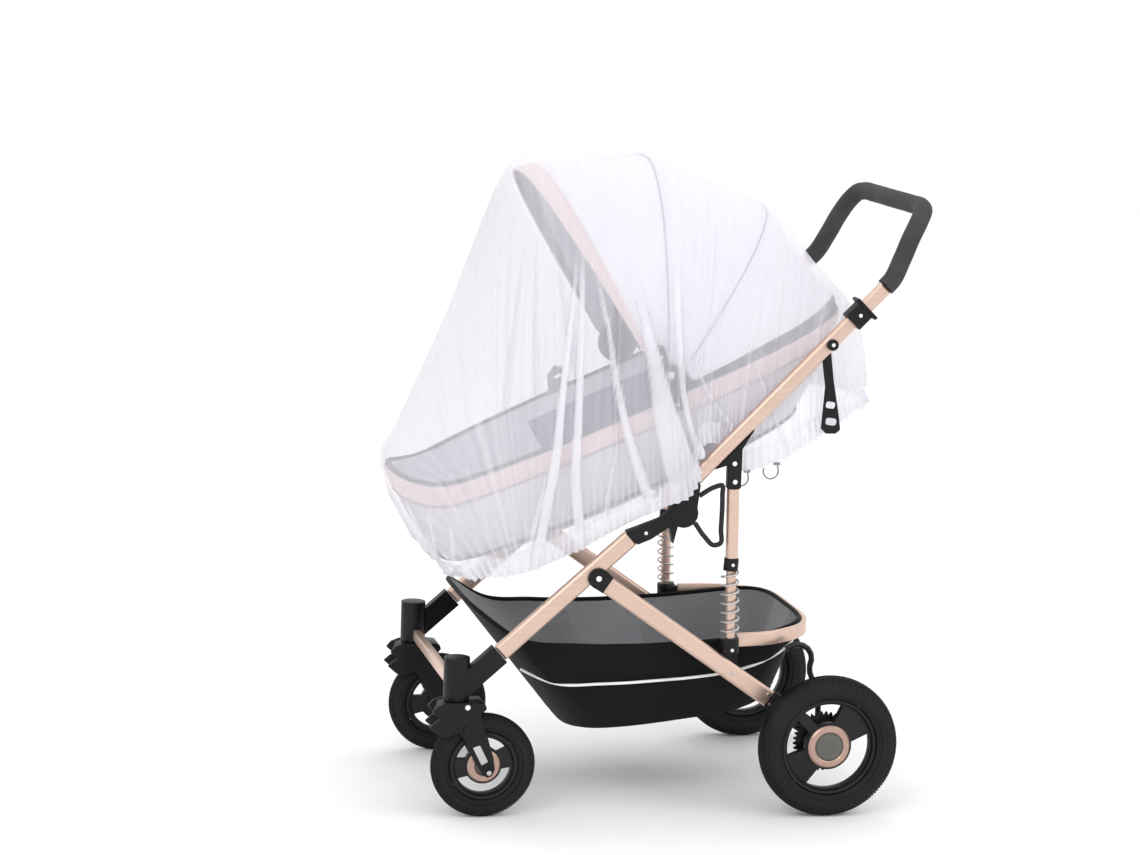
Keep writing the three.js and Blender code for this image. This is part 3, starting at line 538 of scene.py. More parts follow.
def turned(profile: Outline, middle: Triple, steps: int = 96) -> bmesh.types.BMesh:
    """Spins a closed profile about an axle along Y.

    Args:
        profile: Points as radius and distance out from the middle, the last joined to the first.
        middle: A point of the axle.
        steps: Segments of the turn.

    Returns:
        The turned solid.
    """
    x, y, z = middle
    bm = bmesh.new()
    verts = [bm.verts.new((x + out, y + across, z)) for out, across in profile]
    edges = [bm.edges.new((a, b)) for a, b in zip(verts, verts[1:] + verts[:1])]
    bmesh.ops.spin(
        bm, geom=verts + edges, cent=middle, axis=(0, 1, 0), angle=2 * math.pi, steps=steps, use_merge=True,
    )
    bmesh.ops.remove_doubles(bm, verts=bm.verts, dist=1e-6)
    bmesh.ops.recalc_face_normals(bm, faces=bm.faces)
    return bm


def oval(x: float, z: float, half_x: float, half_z: float, lean: float = 0.0, power: float = 0.6,
         sides: int = 24) -> Outline:
    """Lists the corners of an oval or rounded slot about a middle point, turned by lean degrees."""
    turn = np.linspace(0, 2 * math.pi, sides, endpoint=False)
    a, b = half_x * bent(np.cos(turn), power), half_z * bent(np.sin(turn), power)
    c, s = math.cos(math.radians(lean)), math.sin(math.radians(lean))
    return list(zip(x + c * a - s * b, z + s * a + c * b))


def plate(outline: Outline, low: float, high: float, edge: float = 0.001,
          holes: tuple[Outline, ...] = ()) -> bmesh.types.BMesh:
    """Cuts a flat piece in the XZ plane and rounds its edges.

    Args:
        outline: Its corners as x and z.
        low: Its inner face's y.
        high: Its outer face's y.
        edge: The rounding's width.
        holes: The outlines of its holes.

    Returns:
        The plate.
    """
    bm = bmesh.new()
    edges = []
    for corners in (outline, *holes):
        verts = [bm.verts.new((x, low, z)) for x, z in corners]
        edges += [bm.edges.new((a, b)) for a, b in zip(verts, verts[1:] + verts[:1])]
    bmesh.ops.triangle_fill(bm, use_beauty=True, use_dissolve=True, edges=edges)
    raised = bmesh.ops.extrude_face_region(bm, geom=bm.faces[:])["geom"]
    corners = [part for part in raised if isinstance(part, bmesh.types.BMVert)]
    bmesh.ops.translate(bm, vec=(0, high - low, 0), verts=corners)
    bmesh.ops.recalc_face_normals(bm, faces=bm.faces)
    rounded_edges(bm, edge)
    return bm


def rounded_edges(bm: bmesh.types.BMesh, width: float, least_angle: float = 28.0, segments: int = 2) -> None:
    """Bevels every edge that is sharper than an angle in degrees."""
    least = math.radians(least_angle)
    sharp = [e for e in bm.edges if len(e.link_faces) == 2 and e.calc_face_angle(0.0) > least]
    bmesh.ops.bevel(
        bm, geom=sharp, offset=width, offset_type="OFFSET", affect="EDGES", segments=segments, profile=0.5,
        material=-1, clamp_overlap=True,
    )


def disc(x: float, z: float, radius: float, low: float, high: float, edge: float,
         sides: int) -> bmesh.types.BMesh:
    """Makes a round pin or disc along Y, from y low to high, with rounded rims."""
    bm = bmesh.new()
    placed = Matrix.Translation((x, (low + high) / 2, z)) @ Matrix.Rotation(math.pi / 2, 4, "X")
    bmesh.ops.create_cone(
        bm, cap_ends=True, segments=sides, radius1=radius, radius2=radius, depth=high - low, matrix=placed,
    )
    rounded_edges(bm, edge)
    return bm


def joined(*parts: bmesh.types.BMesh) -> bmesh.types.BMesh:
    """Puts several bmeshes into the first one and frees the others."""
    whole = parts[0]
    for part in parts[1:]:
        scratch = bpy.data.meshes.new("scratch")
        part.to_mesh(scratch)
        part.free()
        whole.from_mesh(scratch)
        bpy.data.meshes.remove(scratch)
    return whole


def softened(node: str, width: float) -> bmesh.types.BMesh:
    """Copies a node's shape and rounds its sharp edges.

    Args:
        node: The frame's node.
        width: The rounding's width.

    Returns:
        The softened copy.
    """
    bm = bmesh.new()
    bm.from_mesh(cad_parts[node].data)
    bmesh.ops.remove_doubles(bm, verts=bm.verts, dist=1e-5)
    bmesh.ops.dissolve_limit(bm, angle_limit=math.radians(1.0), verts=bm.verts, edges=bm.edges)
    rounded_edges(bm, width)
    return bm


def pair(name: str, bm: bmesh.types.BMesh, material: bpy.types.Material,
         replace: str | None = None, smooth_angle: float = 40.0) -> None:
    """Shows a piece built for the far side on both sides.

    Args:
        name: The pieces' common name.
        bm: The far side's shape.
        material: Its material.
        replace: The common name of the nodes that they stand for, if any.
        smooth_angle: The shading's limit in degrees.
    """
    for side, shape in ((Side.NEAR, mirrored(bm)), (Side.FAR, bm)):
        nodes = (f"{replace}_{side.word}",) if replace else ()
        shown(f"{name}_{side.word}", shape, [material], nodes, smooth_angle)


# Shared shapes: hood and carrycot, which the net lies round


@dataclass(frozen=True)
class HoodForm:
    """The hood's skin: hoops turned about the hinge line, square-shouldered across the stroller."""

    hinge: tuple[float, float] = (-0.005, 0.735)
    half_width: float = 0.199
    square: float = 2.6
    angles: tuple[float, ...] = (15, 23.5, 31.5, 44, 57, 66, 74, 85.5, 92, 106, 118.5, 123, 131)
    reaches: tuple[float, ...] = (
        0.366, 0.372, 0.356, 0.354, 0.371, 0.366, 0.365, 0.379, 0.392, 0.400, 0.424, 0.431, 0.436,
    )

    def points(self, angle: np.ndarray, turn: np.ndarray, offset: float | np.ndarray = 0.0) -> np.ndarray:
        """Finds points of the skin.

        Args:
            angle: Degrees about the hinge line, from +X.
            turn: Degrees across, from -90 on the near side to 90.
            offset: Distance out of the skin.

        Returns:
            An array of points.
        """
        reach = curve_through(self.angles, self.reaches, angle) + offset
        power = 2 / self.square
        out = reach * np.cos(np.radians(turn)) ** power
        y = (self.half_width + offset) * bent(np.sin(np.radians(turn)), power)
        x, z = out * np.cos(np.radians(angle)), out * np.sin(np.radians(angle))
        return np.stack([self.hinge[0] + x, y, self.hinge[1] + z], axis=-1)

    def pushed_out(self, p: np.ndarray, clearance: float, front: float = 124.4) -> np.ndarray:
        """Moves points that lie inside the hood, or too near it, out along their ray from the hinge."""
        dx, dz = p[..., 0] - self.hinge[0], p[..., 2] - self.hinge[1]
        out = np.hypot(dx, dz)
        angle = np.degrees(np.arctan2(dz, dx))
        reach = curve_through(self.angles, self.reaches, angle) + clearance
        half = self.half_width + clearance
        inside = (np.abs(p[..., 1]) / half) ** self.square + (out / reach) ** self.square
        outward = np.maximum(inside, TINY) ** (-1 / self.square)
        grow = np.where((dz > 0) & (angle < front) & (inside < 1), outward, 1.0)
        return np.stack([self.hinge[0] + dx * grow, p[..., 1] * grow, self.hinge[1] + dz * grow], axis=-1)


@dataclass(frozen=True)
class CotForm:
    """The carrycot: a tub whose rim climbs towards the head and curls up at the foot.

    A taper is its share of the width, the x where it starts and the length over which it comes in.
    """

    length: float = 0.790
    half_width: float = 0.201
    centre_x: float = -0.060
    slope: float = 0.435
    foot_x: float = -0.347
    foot_rim: float = 0.578
    curl: float = 0.034
    curl_length: float = 0.096
    depth: float = 0.172
    rake: float = 0.09
    foot_taper: Triple = (0.10, -0.150, 0.30)
    head_taper: Triple = (0.06, 0.200, 0.14)
    square: float = 3.2
    band_depth: float = 0.048
    band_thickness: float = 0.0032
    over_rim: float = 0.006
    under_floor: float = 0.004
    drops: tuple[float, ...] = (0.0, 0.042, 0.090, 0.154, 0.172)
    shares: tuple[float, ...] = (1.0, 0.975, 0.93, 0.83, 0.70)

    def rim(self, x: np.ndarray) -> np.ndarray:
        """The rim's height at x."""
        curl = np.clip((self.foot_x - x) / self.curl_length, 0, 1.3)
        return self.foot_rim + self.slope * (x - self.foot_x) + self.curl * curl ** 2

    def half_plan(self, share: np.ndarray, drop: np.ndarray, x: np.ndarray) -> tuple[np.ndarray, np.ndarray]:
        """Gives half the plan's length and width at a share of its full size and a drop below the rim."""
        rake = np.where(x < self.centre_x, self.rake * drop / self.depth, 0.0)
        foot, foot_start, foot_run = self.foot_taper
        head, head_start, head_run = self.head_taper
        foot_loss = foot * np.clip((foot_start - x) / foot_run, 0, 1)
        head_loss = head * np.clip((x - head_start) / head_run, 0, 1)
        wide = self.half_width * share * (1 - foot_loss - head_loss)
        return self.length / 2 * (share - rake * np.minimum(share, 1)), wide

    def points(self, turn: np.ndarray, share: np.ndarray, drop: np.ndarray) -> np.ndarray:
        """Finds points of a wall.

        Args:
            turn: Radians round the plan.
            share: Share of the full plan.
            drop: Distance below the rim.

        Returns:
            An array of points.
        """
        power = 2 / self.square
        along = bent(np.cos(turn), power)
        long, _ = self.half_plan(share, drop, self.centre_x + along)
        x = self.centre_x + long * along
        _, wide = self.half_plan(share, drop, x)
        return np.stack([x, wide * bent(np.sin(turn), power), self.rim(x) - drop], axis=-1)

    def pushed_out(self, p: np.ndarray, clearance: float) -> np.ndarray:
        """Moves points that lie inside the tub, or too near it, straight out of its plan."""
        drop = self.rim(p[..., 0]) - p[..., 2]
        share = np.interp(drop, self.drops, self.shares)
        long, wide = self.half_plan(share, np.maximum(drop, 0), p[..., 0])
        room = clearance + self.band_thickness * (drop < self.band_depth)
        dx, dy = p[..., 0] - self.centre_x, p[..., 1]
        inside = (np.abs(dx) / (long + room)) ** self.square + (np.abs(dy) / (wide + room)) ** self.square
        near = (drop > -self.over_rim) & (drop < self.depth + self.under_floor) & (inside < 1)
        grow = np.where(near, np.maximum(inside, TINY) ** (-1 / self.square), 1.0)
        return np.stack([self.centre_x + dx * grow, dy * grow, p[..., 2]], axis=-1)


HOOD = HoodForm()
COT = CotForm()


# The net


@dataclass(frozen=True)
class Station:
    """One hoop of the net across the stroller.

    It runs from its middle line at top, as x and z, out and down to the line where it starts to hang
    (rim), and from there to its hem, both on the far side. Its upper part bulges by bow, 2 for an ellipse.
    """

    top: tuple[float, float]
    rim: Triple
    hem: Triple
    bow: float


STATIONS = (
    Station((-.348, .392), (-.340, .084, .396), (-.330, .118, .402), 2.0),
    Station((-.408, .456), (-.380, .128, .452), (-.316, .152, .406), 2.1),
    Station((-.462, .566), (-.404, .168, .562), (-.300, .168, .410), 2.2),
    Station((-.432, .652), (-.372, .190, .590), (-.280, .178, .412), 2.0),
    Station((-.352, .846), (-.306, .204, .622), (-.252, .186, .419), 2.0),
    Station((-.249, 1.104), (-.232, .208, .660), (-.221, .190, .430), 2.5),
    Station((-.170, 1.122), (-.172, .208, .690), (-.160, .196, .458), 2.6),
    Station((-.080, 1.1298), (-.096, .210, .718), (-.080, .204, .503), 2.6),
    Station((0, 1.130), (-.020, .211, .744), (-.010, .243, .546), 2.6),
    Station((.052, 1.112), (.024, .211, .762), (.024, .245, .572), 2.6),
    Station((.084, 1.100), (.052, .210, .774), (.044, .229, .641), 2.6),
    Station((.116, 1.088), (.084, .209, .788), (.078, .212, .648), 2.6),
    Station((.160, 1.074), (.130, .209, .806), (.122, .210, .602), 2.6),
    Station((.212, 1.046), (.186, .209, .822), (.190, .208, .617), 2.6),
    Station((.270, .968), (.244, .208, .838), (.250, .204, .650), 2.6),
    Station((.346, .884), (.300, .194, .842), (.306, .188, .684), 2.7),
    Station((.378, .800), (.344, .152, .796), (.340, .156, .698), 2.4),
    Station((.396, .698), (.386, .084, .700), (.368, .118, .702), 2.0),
)


@dataclass(frozen=True)
class Fold:
    """A hanging fold of the net on one side: where it runs as x at rising heights z, and how it stands out.

    Its half width grows from narrow at the top to wide at the foot.
    """

    side: Side
    heights: tuple[float, ...]
    places: tuple[float, ...]
    narrow: float
    wide: float
    lift: float
    density: float = 1.0


FOLDS = (
    Fold(Side.NEAR, (.435, .528, .644, .687, .982), (-.225, -.214, -.199, -.197, -.169), .0035, .0100, .009),
    Fold(Side.NEAR, (.470, .587, .687, .861, .993), (-.150, -.165, -.165, -.164, -.161), .0045, .0090, .009),
    Fold(Side.NEAR, (.530, .625, .687, .879, .962), (-.027, -.064, -.084, -.125, -.144), .0030, .0095, .010),
    Fold(Side.NEAR, (.567, .687, .862, .937), (.022, -.010, -.054, -.075), .0055, .0280, .015, 0.95),
    Fold(Side.NEAR, (.603, .687, .862, .977), (.050, .027, .004, .001), .0065, .0055, .009, 0.9),
    Fold(Side.NEAR, (.679, .728, .823), (.106, .065, .034), .0030, .0045, .006, 0.6),
    Fold(Side.NEAR, (.642, .700, .745, .803), (.205, .181, .162, .138), .0030, .0045, .006, 0.6),
    Fold(Side.NEAR, (.666, .712), (.227, .211), .0030, .0040, .005, 0.5),
    Fold(Side.NEAR, (.400, .542), (-.369, -.459), .0022, .0035, .005, 0.7),
    Fold(Side.NEAR, (.423, .537), (-.388, -.442), .0020, .0030, .004, 0.6),
    Fold(Side.NEAR, (.411, .520), (-.375, -.410), .0020, .0030, .004, 0.6),
    Fold(Side.NEAR, (.411, .501), (-.352, -.372), .0025, .0045, .004, 0.6),
    Fold(Side.NEAR, (.411, .469), (-.276, -.276), .0022, .0035, .004, 0.7),
    Fold(Side.NEAR, (.434, .604), (-.244, -.214), .0025, .0060, .006, 0.7),
    Fold(Side.NEAR, (.520, .640), (-.110, -.096), .0020, .0040, .004, 0.6),
    Fold(Side.FAR, (.435, .528, .644, .700, .960), (-.240, -.222, -.205, -.200, -.180), .0040, .0100, .009),
    Fold(Side.FAR, (.480, .600, .700, .861, .980), (-.120, -.140, -.148, -.156, -.160), .0045, .0090, .009),
    Fold(Side.FAR, (.540, .640, .720, .879, .950), (.010, -.040, -.070, -.110, -.130), .0035, .0200, .013),
    Fold(Side.FAR, (.600, .700, .862, .940), (.060, .020, -.030, -.060), .0055, .0120, .010, 0.9),
    Fold(Side.FAR, (.640, .720, .800), (.200, .170, .140), .0030, .0045, .006, 0.6),
    Fold(Side.FAR, (.405, .540), (-.375, -.455), .0022, .0035, .005, 0.7),
    Fold(Side.FAR, (.411, .500), (-.330, -.355), .0025, .0045, .004, 0.6),
)


@dataclass
class NetCloth:
    """The net: one sheet from the foot end's hem, over hood and carrycot, to the hem behind the head.

    Its stations and its middle surface repeat the frame's own. Folds, gathers and hem are added here.
    """

    columns: int = 570
    rows: int = 166
    rim_at: float = 0.62
    hood_clearance: float = 0.0031
    cot_clearance: float = 0.0045
    elastic_at: float = 0.034
    ruffle: float = 0.0125
    skirt_lift: float = 0.0085
    gathered_lift: float = 0.0045
    pinch: float = 0.002
    seed: int = 7
    streaks: int = 110
    streak_width: Span = (0.02, 0.07)
    streak_lift: Span = (0.0012, 0.0045)
    streak_lean: float = 0.25

    def base(self, station: np.ndarray, across: np.ndarray) -> np.ndarray:
        """Finds points of the net without folds.

        Args:
            station: Place along the net, from 0 at the foot hem to 17 at the head hem.
            across: From -1 at the near hem over 0 on the middle line to 1 at the far hem.

        Returns:
            An array of points.
        """
        table = np.array([(*row.top, *row.rim, *row.hem, row.bow) for row in STATIONS])
        top_x, top_z, rim_x, rim_y, rim_z, hem_x, hem_y, hem_z, bow = (
            curve_through(np.arange(len(STATIONS)), column, station) for column in table.T
        )
        down, side = np.abs(across), np.sign(across)
        upper = np.clip(down / self.rim_at, 0, 1) * math.pi / 2
        lower = np.clip((down - self.rim_at) / (1 - self.rim_at), 0, 1)
        power = 2 / bow
        fall = 1 - np.maximum(np.cos(upper), 0) ** power
        hangs = lower > 0
        x = np.where(hangs, rim_x + (hem_x - rim_x) * lower, top_x + (rim_x - top_x) * fall)
        y = np.where(hangs, rim_y + (hem_y - rim_y) * smooth_step(lower), rim_y * np.sin(upper) ** power)
        z = np.where(hangs, rim_z + (hem_z - rim_z) * lower, top_z + (rim_z - top_z) * fall)
        clear = HOOD.pushed_out(np.stack([x, side * y, z], axis=-1), self.hood_clearance)
        return COT.pushed_out(clear, self.cot_clearance)

    def surface(self) -> tuple[np.ndarray, np.ndarray, np.ndarray]:
        """Works out the draped cloth on a grid.

        Returns:
            The points, how gathered the cloth is from 0 to 1, and the flat place of each point in metres.
        """
        last = len(STATIONS) - 1
        station, across = np.meshgrid(
            np.linspace(0, last, self.columns + 1), np.linspace(-1, 1, self.rows + 1), indexing="ij"
        )
        p = self.base(station, across)
        out = np.cross(np.gradient(p, axis=0), np.gradient(p, axis=1))
        out /= np.maximum(np.linalg.norm(out, axis=-1, keepdims=True), TINY)
        down, long = travelled(p, 1), travelled(p, 0)
        to_side = np.minimum(down, down[:, -1:] - down)
        to_end = np.minimum(long, long[-1:, :] - long)
        lift, gather = self.hanging_folds(p, across)
        streaks = self.thin_streaks(station, across)
        lift += streaks
        gather = np.maximum(gather, 0.45 * streaks / 0.005)
        side_ruffle, side_crowd = self.hem(to_side, np.where(across < 0, long[:, :1], long[:, -1:]))
        end_ruffle, end_crowd = self.hem(to_end, np.where(station < last / 2, down[:1, :], down[-1:, :]))
        lift += np.where(to_side < to_end, side_ruffle, end_ruffle)
        gather = np.maximum(gather, np.where(to_side < to_end, side_crowd, end_crowd))
        middle = self.rows // 2
        flat = np.stack([long[:, middle, None] + 0 * down, down - down[:, middle, None]], axis=-1)
        return p + out * lift[..., None], np.clip(gather, 0, 1), flat

    def hanging_folds(self, p: np.ndarray, across: np.ndarray) -> tuple[np.ndarray, np.ndarray]:
        """Raises the main folds, which hang from the hood's front down to the hem."""
        lift, gather = np.zeros(across.shape), np.zeros(across.shape)
        for fold in FOLDS:
            x = curve_through(fold.heights, fold.places, p[..., 2])
            foot, top = fold.heights[0], fold.heights[-1]
            below = (top - p[..., 2]) / (top - foot)
            away = np.abs(p[..., 0] - x) / (fold.narrow + (fold.wide - fold.narrow) * smooth_step(below))
            grow = smooth_step((below + 0.04) / 0.3) * (across * fold.side.value > 0.12)
            lift = np.maximum(lift, fold.lift * np.sqrt(np.clip(1 - away ** 2, 0, 1)) * grow)
            gather = np.maximum(gather, fold.density * smooth_step((1.15 - away) / 0.3) * grow)
        return lift, gather

    def thin_streaks(self, station: np.ndarray, across: np.ndarray) -> np.ndarray:
        """Raises many thin streaks that run down from the hood and fan out from the foot end's rim."""
        draw = np.random.default_rng(self.seed)
        lift = np.zeros(station.shape)
        for _ in range(self.streaks):
            middle, wide = draw.uniform(0.3, len(STATIONS) - 1.3), draw.uniform(*self.streak_width)
            high, start = draw.uniform(*self.streak_lift), draw.uniform(0.2, 0.8)
            lean, side = draw.uniform(-self.streak_lean, self.streak_lean), draw.choice([-1, 1])
            down = across * side
            near = np.exp(-(((station - middle - lean * (down - start)) / wide) ** 2))
            lift = np.maximum(lift, high * near * smooth_step((down - start) / 0.25))
        return lift

    def hem(self, edge: np.ndarray, along: np.ndarray) -> tuple[np.ndarray, np.ndarray]:
        """Ruffles the hem below its elastic and gathers the cloth above it.

        Args:
            edge: Distance from the cloth's edge.
            along: Distance along that edge.

        Returns:
            How far the cloth stands out, and how gathered it is.
        """
        line = self.elastic_at
        uneven = 1.7 * np.sin(along / 0.031) + 2.3 * np.sin(along / 0.083 + 1)
        wave = 0.5 + 0.5 * np.sin(2 * math.pi * along / self.ruffle + uneven)
        skirt = smooth_step((line - edge) / line) * self.skirt_lift
        fading = 1 - smooth_step((edge - line) / 0.10)
        above = smooth_step((edge - line) / 0.01) * fading * self.gathered_lift
        pinch = -self.pinch * np.exp(-(((edge - line) / 0.006) ** 2))
        crowd = 0.62 * (edge < line + 0.004) + 0.5 * wave ** 3 * (1 - smooth_step((edge - line) / 0.09))
        cord = np.exp(-(((edge - line) / 0.0025) ** 2)) + np.exp(-((edge / 0.004) ** 2))
        return wave ** 1.5 * (skirt + above) + pinch, np.clip(np.maximum(crowd, 0.85 * cord), 0, 1)

    def build(self, finishes: Finishes) -> None:
        points, gather, flat = self.surface()
        bm = bmesh.new()
        bmesh.ops.create_grid(bm, x_segments=self.columns, y_segments=self.rows, size=0.5)
        where = np.array([v.co[:2] for v in bm.verts]) + 0.5
        i = np.rint(where[:, 0] * self.columns).astype(int)
        j = np.rint(where[:, 1] * self.rows).astype(int)
        layer = bm.loops.layers.uv.new("UVMap")
        crowd = bm.verts.layers.float.new("gather")
        for vert, spot, level, uv in zip(bm.verts, points[i, j], gather[i, j], flat[i, j]):
            vert.co = spot
            vert[crowd] = level
            for loop in vert.link_loops:
                loop[layer].uv = uv
        bmesh.ops.reverse_faces(bm, faces=bm.faces)
        net = shown("net_cloth", bm, [finishes.net], ("net",), 180)
        log.info("net: %d by %d cells", self.columns, self.rows)


# Hood


@dataclass
class Hood:
    """The folding hood: skin, front binding, seams over its bows, rear webbing and side levers."""

    rear: float = 25.5
    front: float = 118.7
    brim: tuple[float, float] = (118.9, 123.0)
    trim: tuple[float, float] = (23.6, 25.4)
    seams: tuple[float, ...] = (57.0, 92.0)
    sweep: float = 86.0

    def arc(self, angle: float, offset: float, sweep: float, steps: int = 72) -> Route:
        """Follows the skin across the stroller at one angle, sweep degrees to either side."""
        return HOOD.points(np.full(steps, angle), np.linspace(-sweep, sweep, steps), offset)

    def band(self, low: float, high: float, puff: float) -> bmesh.types.BMesh:
        """Makes a strip across the hood between two angles, crowned by puff in its middle."""
        def place(u: np.ndarray, v: np.ndarray) -> np.ndarray:
            """Lays the strip over the skin."""
            crown = puff * np.sin(math.pi * u) ** 0.5
            return HOOD.points(low + (high - low) * u, self.sweep * (1 - 2 * v), crown)
        return warped_grid(place, 12, 110)

    def skin(self, u: np.ndarray, v: np.ndarray) -> np.ndarray:
        """The cloth: it hollows a little between the bows and puckers along its seams."""
        angle = self.rear + (self.front - self.rear) * u
        turn = self.sweep * (1 - 2 * v)
        beside = np.minimum.reduce([np.abs(angle - seam) for seam in (*self.seams, self.front)])
        pucker = 0.0011 * np.exp(-((beside / 2.2) ** 2)) * np.sin(turn * 2.1 + 0.8 * np.sin(turn * 0.37))
        crease = 0.0015 * np.sin(turn * 0.16 + angle * 0.11) * smooth_step(beside / 9)
        return HOOD.points(angle, turn, pucker + crease)

    def build(self, finishes: Finishes) -> None:
        """Makes the hood's pieces."""
        skin = shown("hood_skin", warped_grid(self.skin, 120, 150),
                     [finishes.hood_cloth, finishes.hood_lining], ("hood_fabric",))
        self.thicken(skin, 0.0016, lining=1)
        brim = shown("hood_binding", self.band(*self.brim, 0.0022),
                     [finishes.pink_cloth, finishes.dark_facing], ("hood_brim",))
        self.thicken(brim, 0.0026, lining=1)
        trim = shown("hood_webbing", self.band(*self.trim, 0.0006), [finishes.webbing],
                     ("hood_trim",))
        self.thicken(trim, 0.0016)
        for number, angle in enumerate(self.seams):
            seam = tube(self.arc(angle, 0.0009, 84), 0.0011, 8)
            shown(f"hood_seam_{number}", seam, [finishes.seam])
        for number, angle in enumerate(self.brim):
            piping = tube(self.arc(angle, 0.0004, 85), 0.0016, 8)
            shown(f"brim_edge_{number}", piping, [finishes.pink_cloth])
        shown("hood_bows", softened("hood_frame", 0.0008), [finishes.grey_plastic],
              ("hood_frame",))
        log.info("hood: cloth, binding, webbing and bows")
        self.levers(finishes)

    def thicken(self, piece: bpy.types.Object, thick: float, lining: int = 0) -> None:
        """Gives a cloth its thickness, with another material inside if lining is 1."""
        solidify = piece.modifiers.new("thickness", "SOLIDIFY")
        solidify.thickness = thick
        solidify.offset = -1.0
        solidify.material_offset = lining

    def levers(self, finishes: Finishes) -> None:
        """Makes the side levers with their rivets."""
        outline = [(-.036, .812), (-.028, .819), (-.018, .817), (-.001, .768), (.012, .736), (.022, .712),
                   (.018, .704), (.006, .703), (-.004, .716), (-.021, .757)]
        low = HOOD.half_width + 0.0050
        pair("lever_plate", plate(outline, low, low + 0.0020, 0.0007), finishes.grey_plastic,
             "hood_lever")
        places = ((-.023, .797, .0042), (-.004, .766, .0064), (.010, .715, .0040))
        rivets = [disc(x, z, radius, low + 0.0016, low + 0.0032, 0.0010, 24) for x, z, radius in places]
        pair("lever_rivet", joined(*rivets), finishes.white_plastic)


# Carrycot


@dataclass
class Carrycot:
    """The carrycot: outer cloth, padded band under the rim, rim cord, lining and mattress."""

    around: int = 144
    strip: float = 0.034
    seam_normal: Triple = (0.796, 0.0, 0.47)
    seam_height: float = 0.1576 / 0.47

    def ring(self, shares: list[float], drops: list[float], cells: int,
             puff: float = 0.0) -> bmesh.types.BMesh:
        """Bends a sheet round the tub through a profile of shares and drops, crowned by puff."""
        def place(u: np.ndarray, v: np.ndarray) -> np.ndarray:
            """Lays the sheet round the tub."""
            steps = np.linspace(0, 1, len(shares))
            share = curve_through(steps, shares, v) + puff / COT.half_width * np.sin(math.pi * v) ** 0.5
            return COT.points(2 * math.pi * u, share, curve_through(steps, drops, v))
        return warped_grid(place, self.around, cells, close=True)

    def build(self, finishes: Finishes) -> None:
        """Makes the carrycot's pieces."""
        shell = self.ring(
            [0.0, 0.35, 0.62, 0.72, 0.80, 0.855, 0.905, 0.94, 0.962, 0.98, 0.996, 1.0],
            [0.172, 0.172, 0.172, 0.170, 0.160, 0.138, 0.108, 0.080, 0.056, 0.036, 0.010, 0.0], 44,
        )
        # The cover's colour holds painted shade as well as the cloth's grey.
        outer = shown("carrycot_cover", shell, [finishes.cot_cloth], ("carrycot_shell",))
        inner = self.ring([0.975, 0.965, 0.945, 0.91, 0.87, 0.82, 0.80],
                          [0.0, 0.020, 0.045, 0.085, 0.115, 0.140, 0.150], 20)
        bmesh.ops.reverse_faces(inner, faces=inner.faces)
        self.mark_head_half(inner)
        lining = shown("carrycot_lining", inner, [finishes.lining, finishes.lilac_lining])
        band = self.ring([1.004, 1.000, 0.990, 0.984], [0.0045, 0.014, 0.028, 0.040], 12, 0.0022)
        pink = shown("rim_band", band, [finishes.pink_cloth], ("carrycot_band",))
        self.cords(finishes)
        latch = plate(
            [(-.129, .672), (-.133, .706), (-.120, .726), (-.096, .718), (-.093, .690), (-.099, .682)],
            0.1935, 0.1985, 0.0016, (oval(-.112, .706, .009, .0035, 28),),
        )
        shown("rim_latch", latch, [finishes.grey_plastic])
        self.mattress(finishes)
        pair("carrycot_mount", softened("carrycot_adapter_far", 0.001), finishes.black_plastic,
             "carrycot_adapter")
        log.info("carrycot: cover, lining, band and mattress")

    def cords(self, finishes: Finishes) -> None:
        """Makes the cords that run right round the tub: rim cord, band seam and base piping."""
        turns = np.linspace(0, 2 * math.pi, self.around, endpoint=False)
        for name, share, drop, radius, sides, finish in (
            ("rim_cord", 0.990, -0.0005, 0.0042, 10, finishes.webbing),
            ("band_seam", 0.986, 0.0415, 0.0012, 6, finishes.seam),
            ("base_piping", 0.832, 0.1555, 0.0026, 8, finishes.webbing),
        ):
            line = COT.points(turns, np.full(self.around, share), np.full(self.around, drop))
            shown(name, tube(line, radius, sides, closed=True), [finish])

    def mark_head_half(self, bm: bmesh.types.BMesh) -> None:
        """Gives the lining's head half its second cloth, under a strip and behind a slanted seam."""
        below = Vector((-COT.slope, 0, 1))
        rim = Vector((COT.foot_x, 0, COT.foot_rim - self.strip))
        behind = Vector(self.seam_normal)
        seam = Vector((0.0, 0.0, self.seam_height))
        for point, normal in ((rim, below), (seam, behind)):
            geom = bm.verts[:] + bm.edges[:] + bm.faces[:]
            bmesh.ops.bisect_plane(bm, geom=geom, plane_co=point, plane_no=normal)
        for face in bm.faces:
            centre = face.calc_center_median()
            if (centre - rim).dot(below) < 0 < (centre - seam).dot(behind):
                face.material_index = 1

    def mattress(self, finishes: Finishes) -> None:
        """Makes the mattress: a crowned pad with rounded sides and shallow quilting."""
        shares = [0, 0.5, 0.68, 0.735, 0.75, 0.735, 0.66, 0.4, 0]
        drops = [0.1635, 0.1635, 0.1625, 0.156, 0.146, 0.137, 0.131, 0.126, 0.124]

        def place(u: np.ndarray, v: np.ndarray) -> np.ndarray:
            """Lays the pad's faces round its middle, from its underside over its side to its top."""
            steps = np.linspace(0, 1, len(shares))
            share, drop = curve_through(steps, shares, v), curve_through(steps, drops, v)
            quilt = 0.0012 * np.sin(share * 55) * np.sin(2 * math.pi * u * 9) * (drop < 0.135)
            return COT.points(2 * math.pi * u, share, drop - quilt)

        pad = shown("mattress_pad", warped_grid(place, 120, 40, close=True), [finishes.lining],
                    ("mattress",))


# Basket


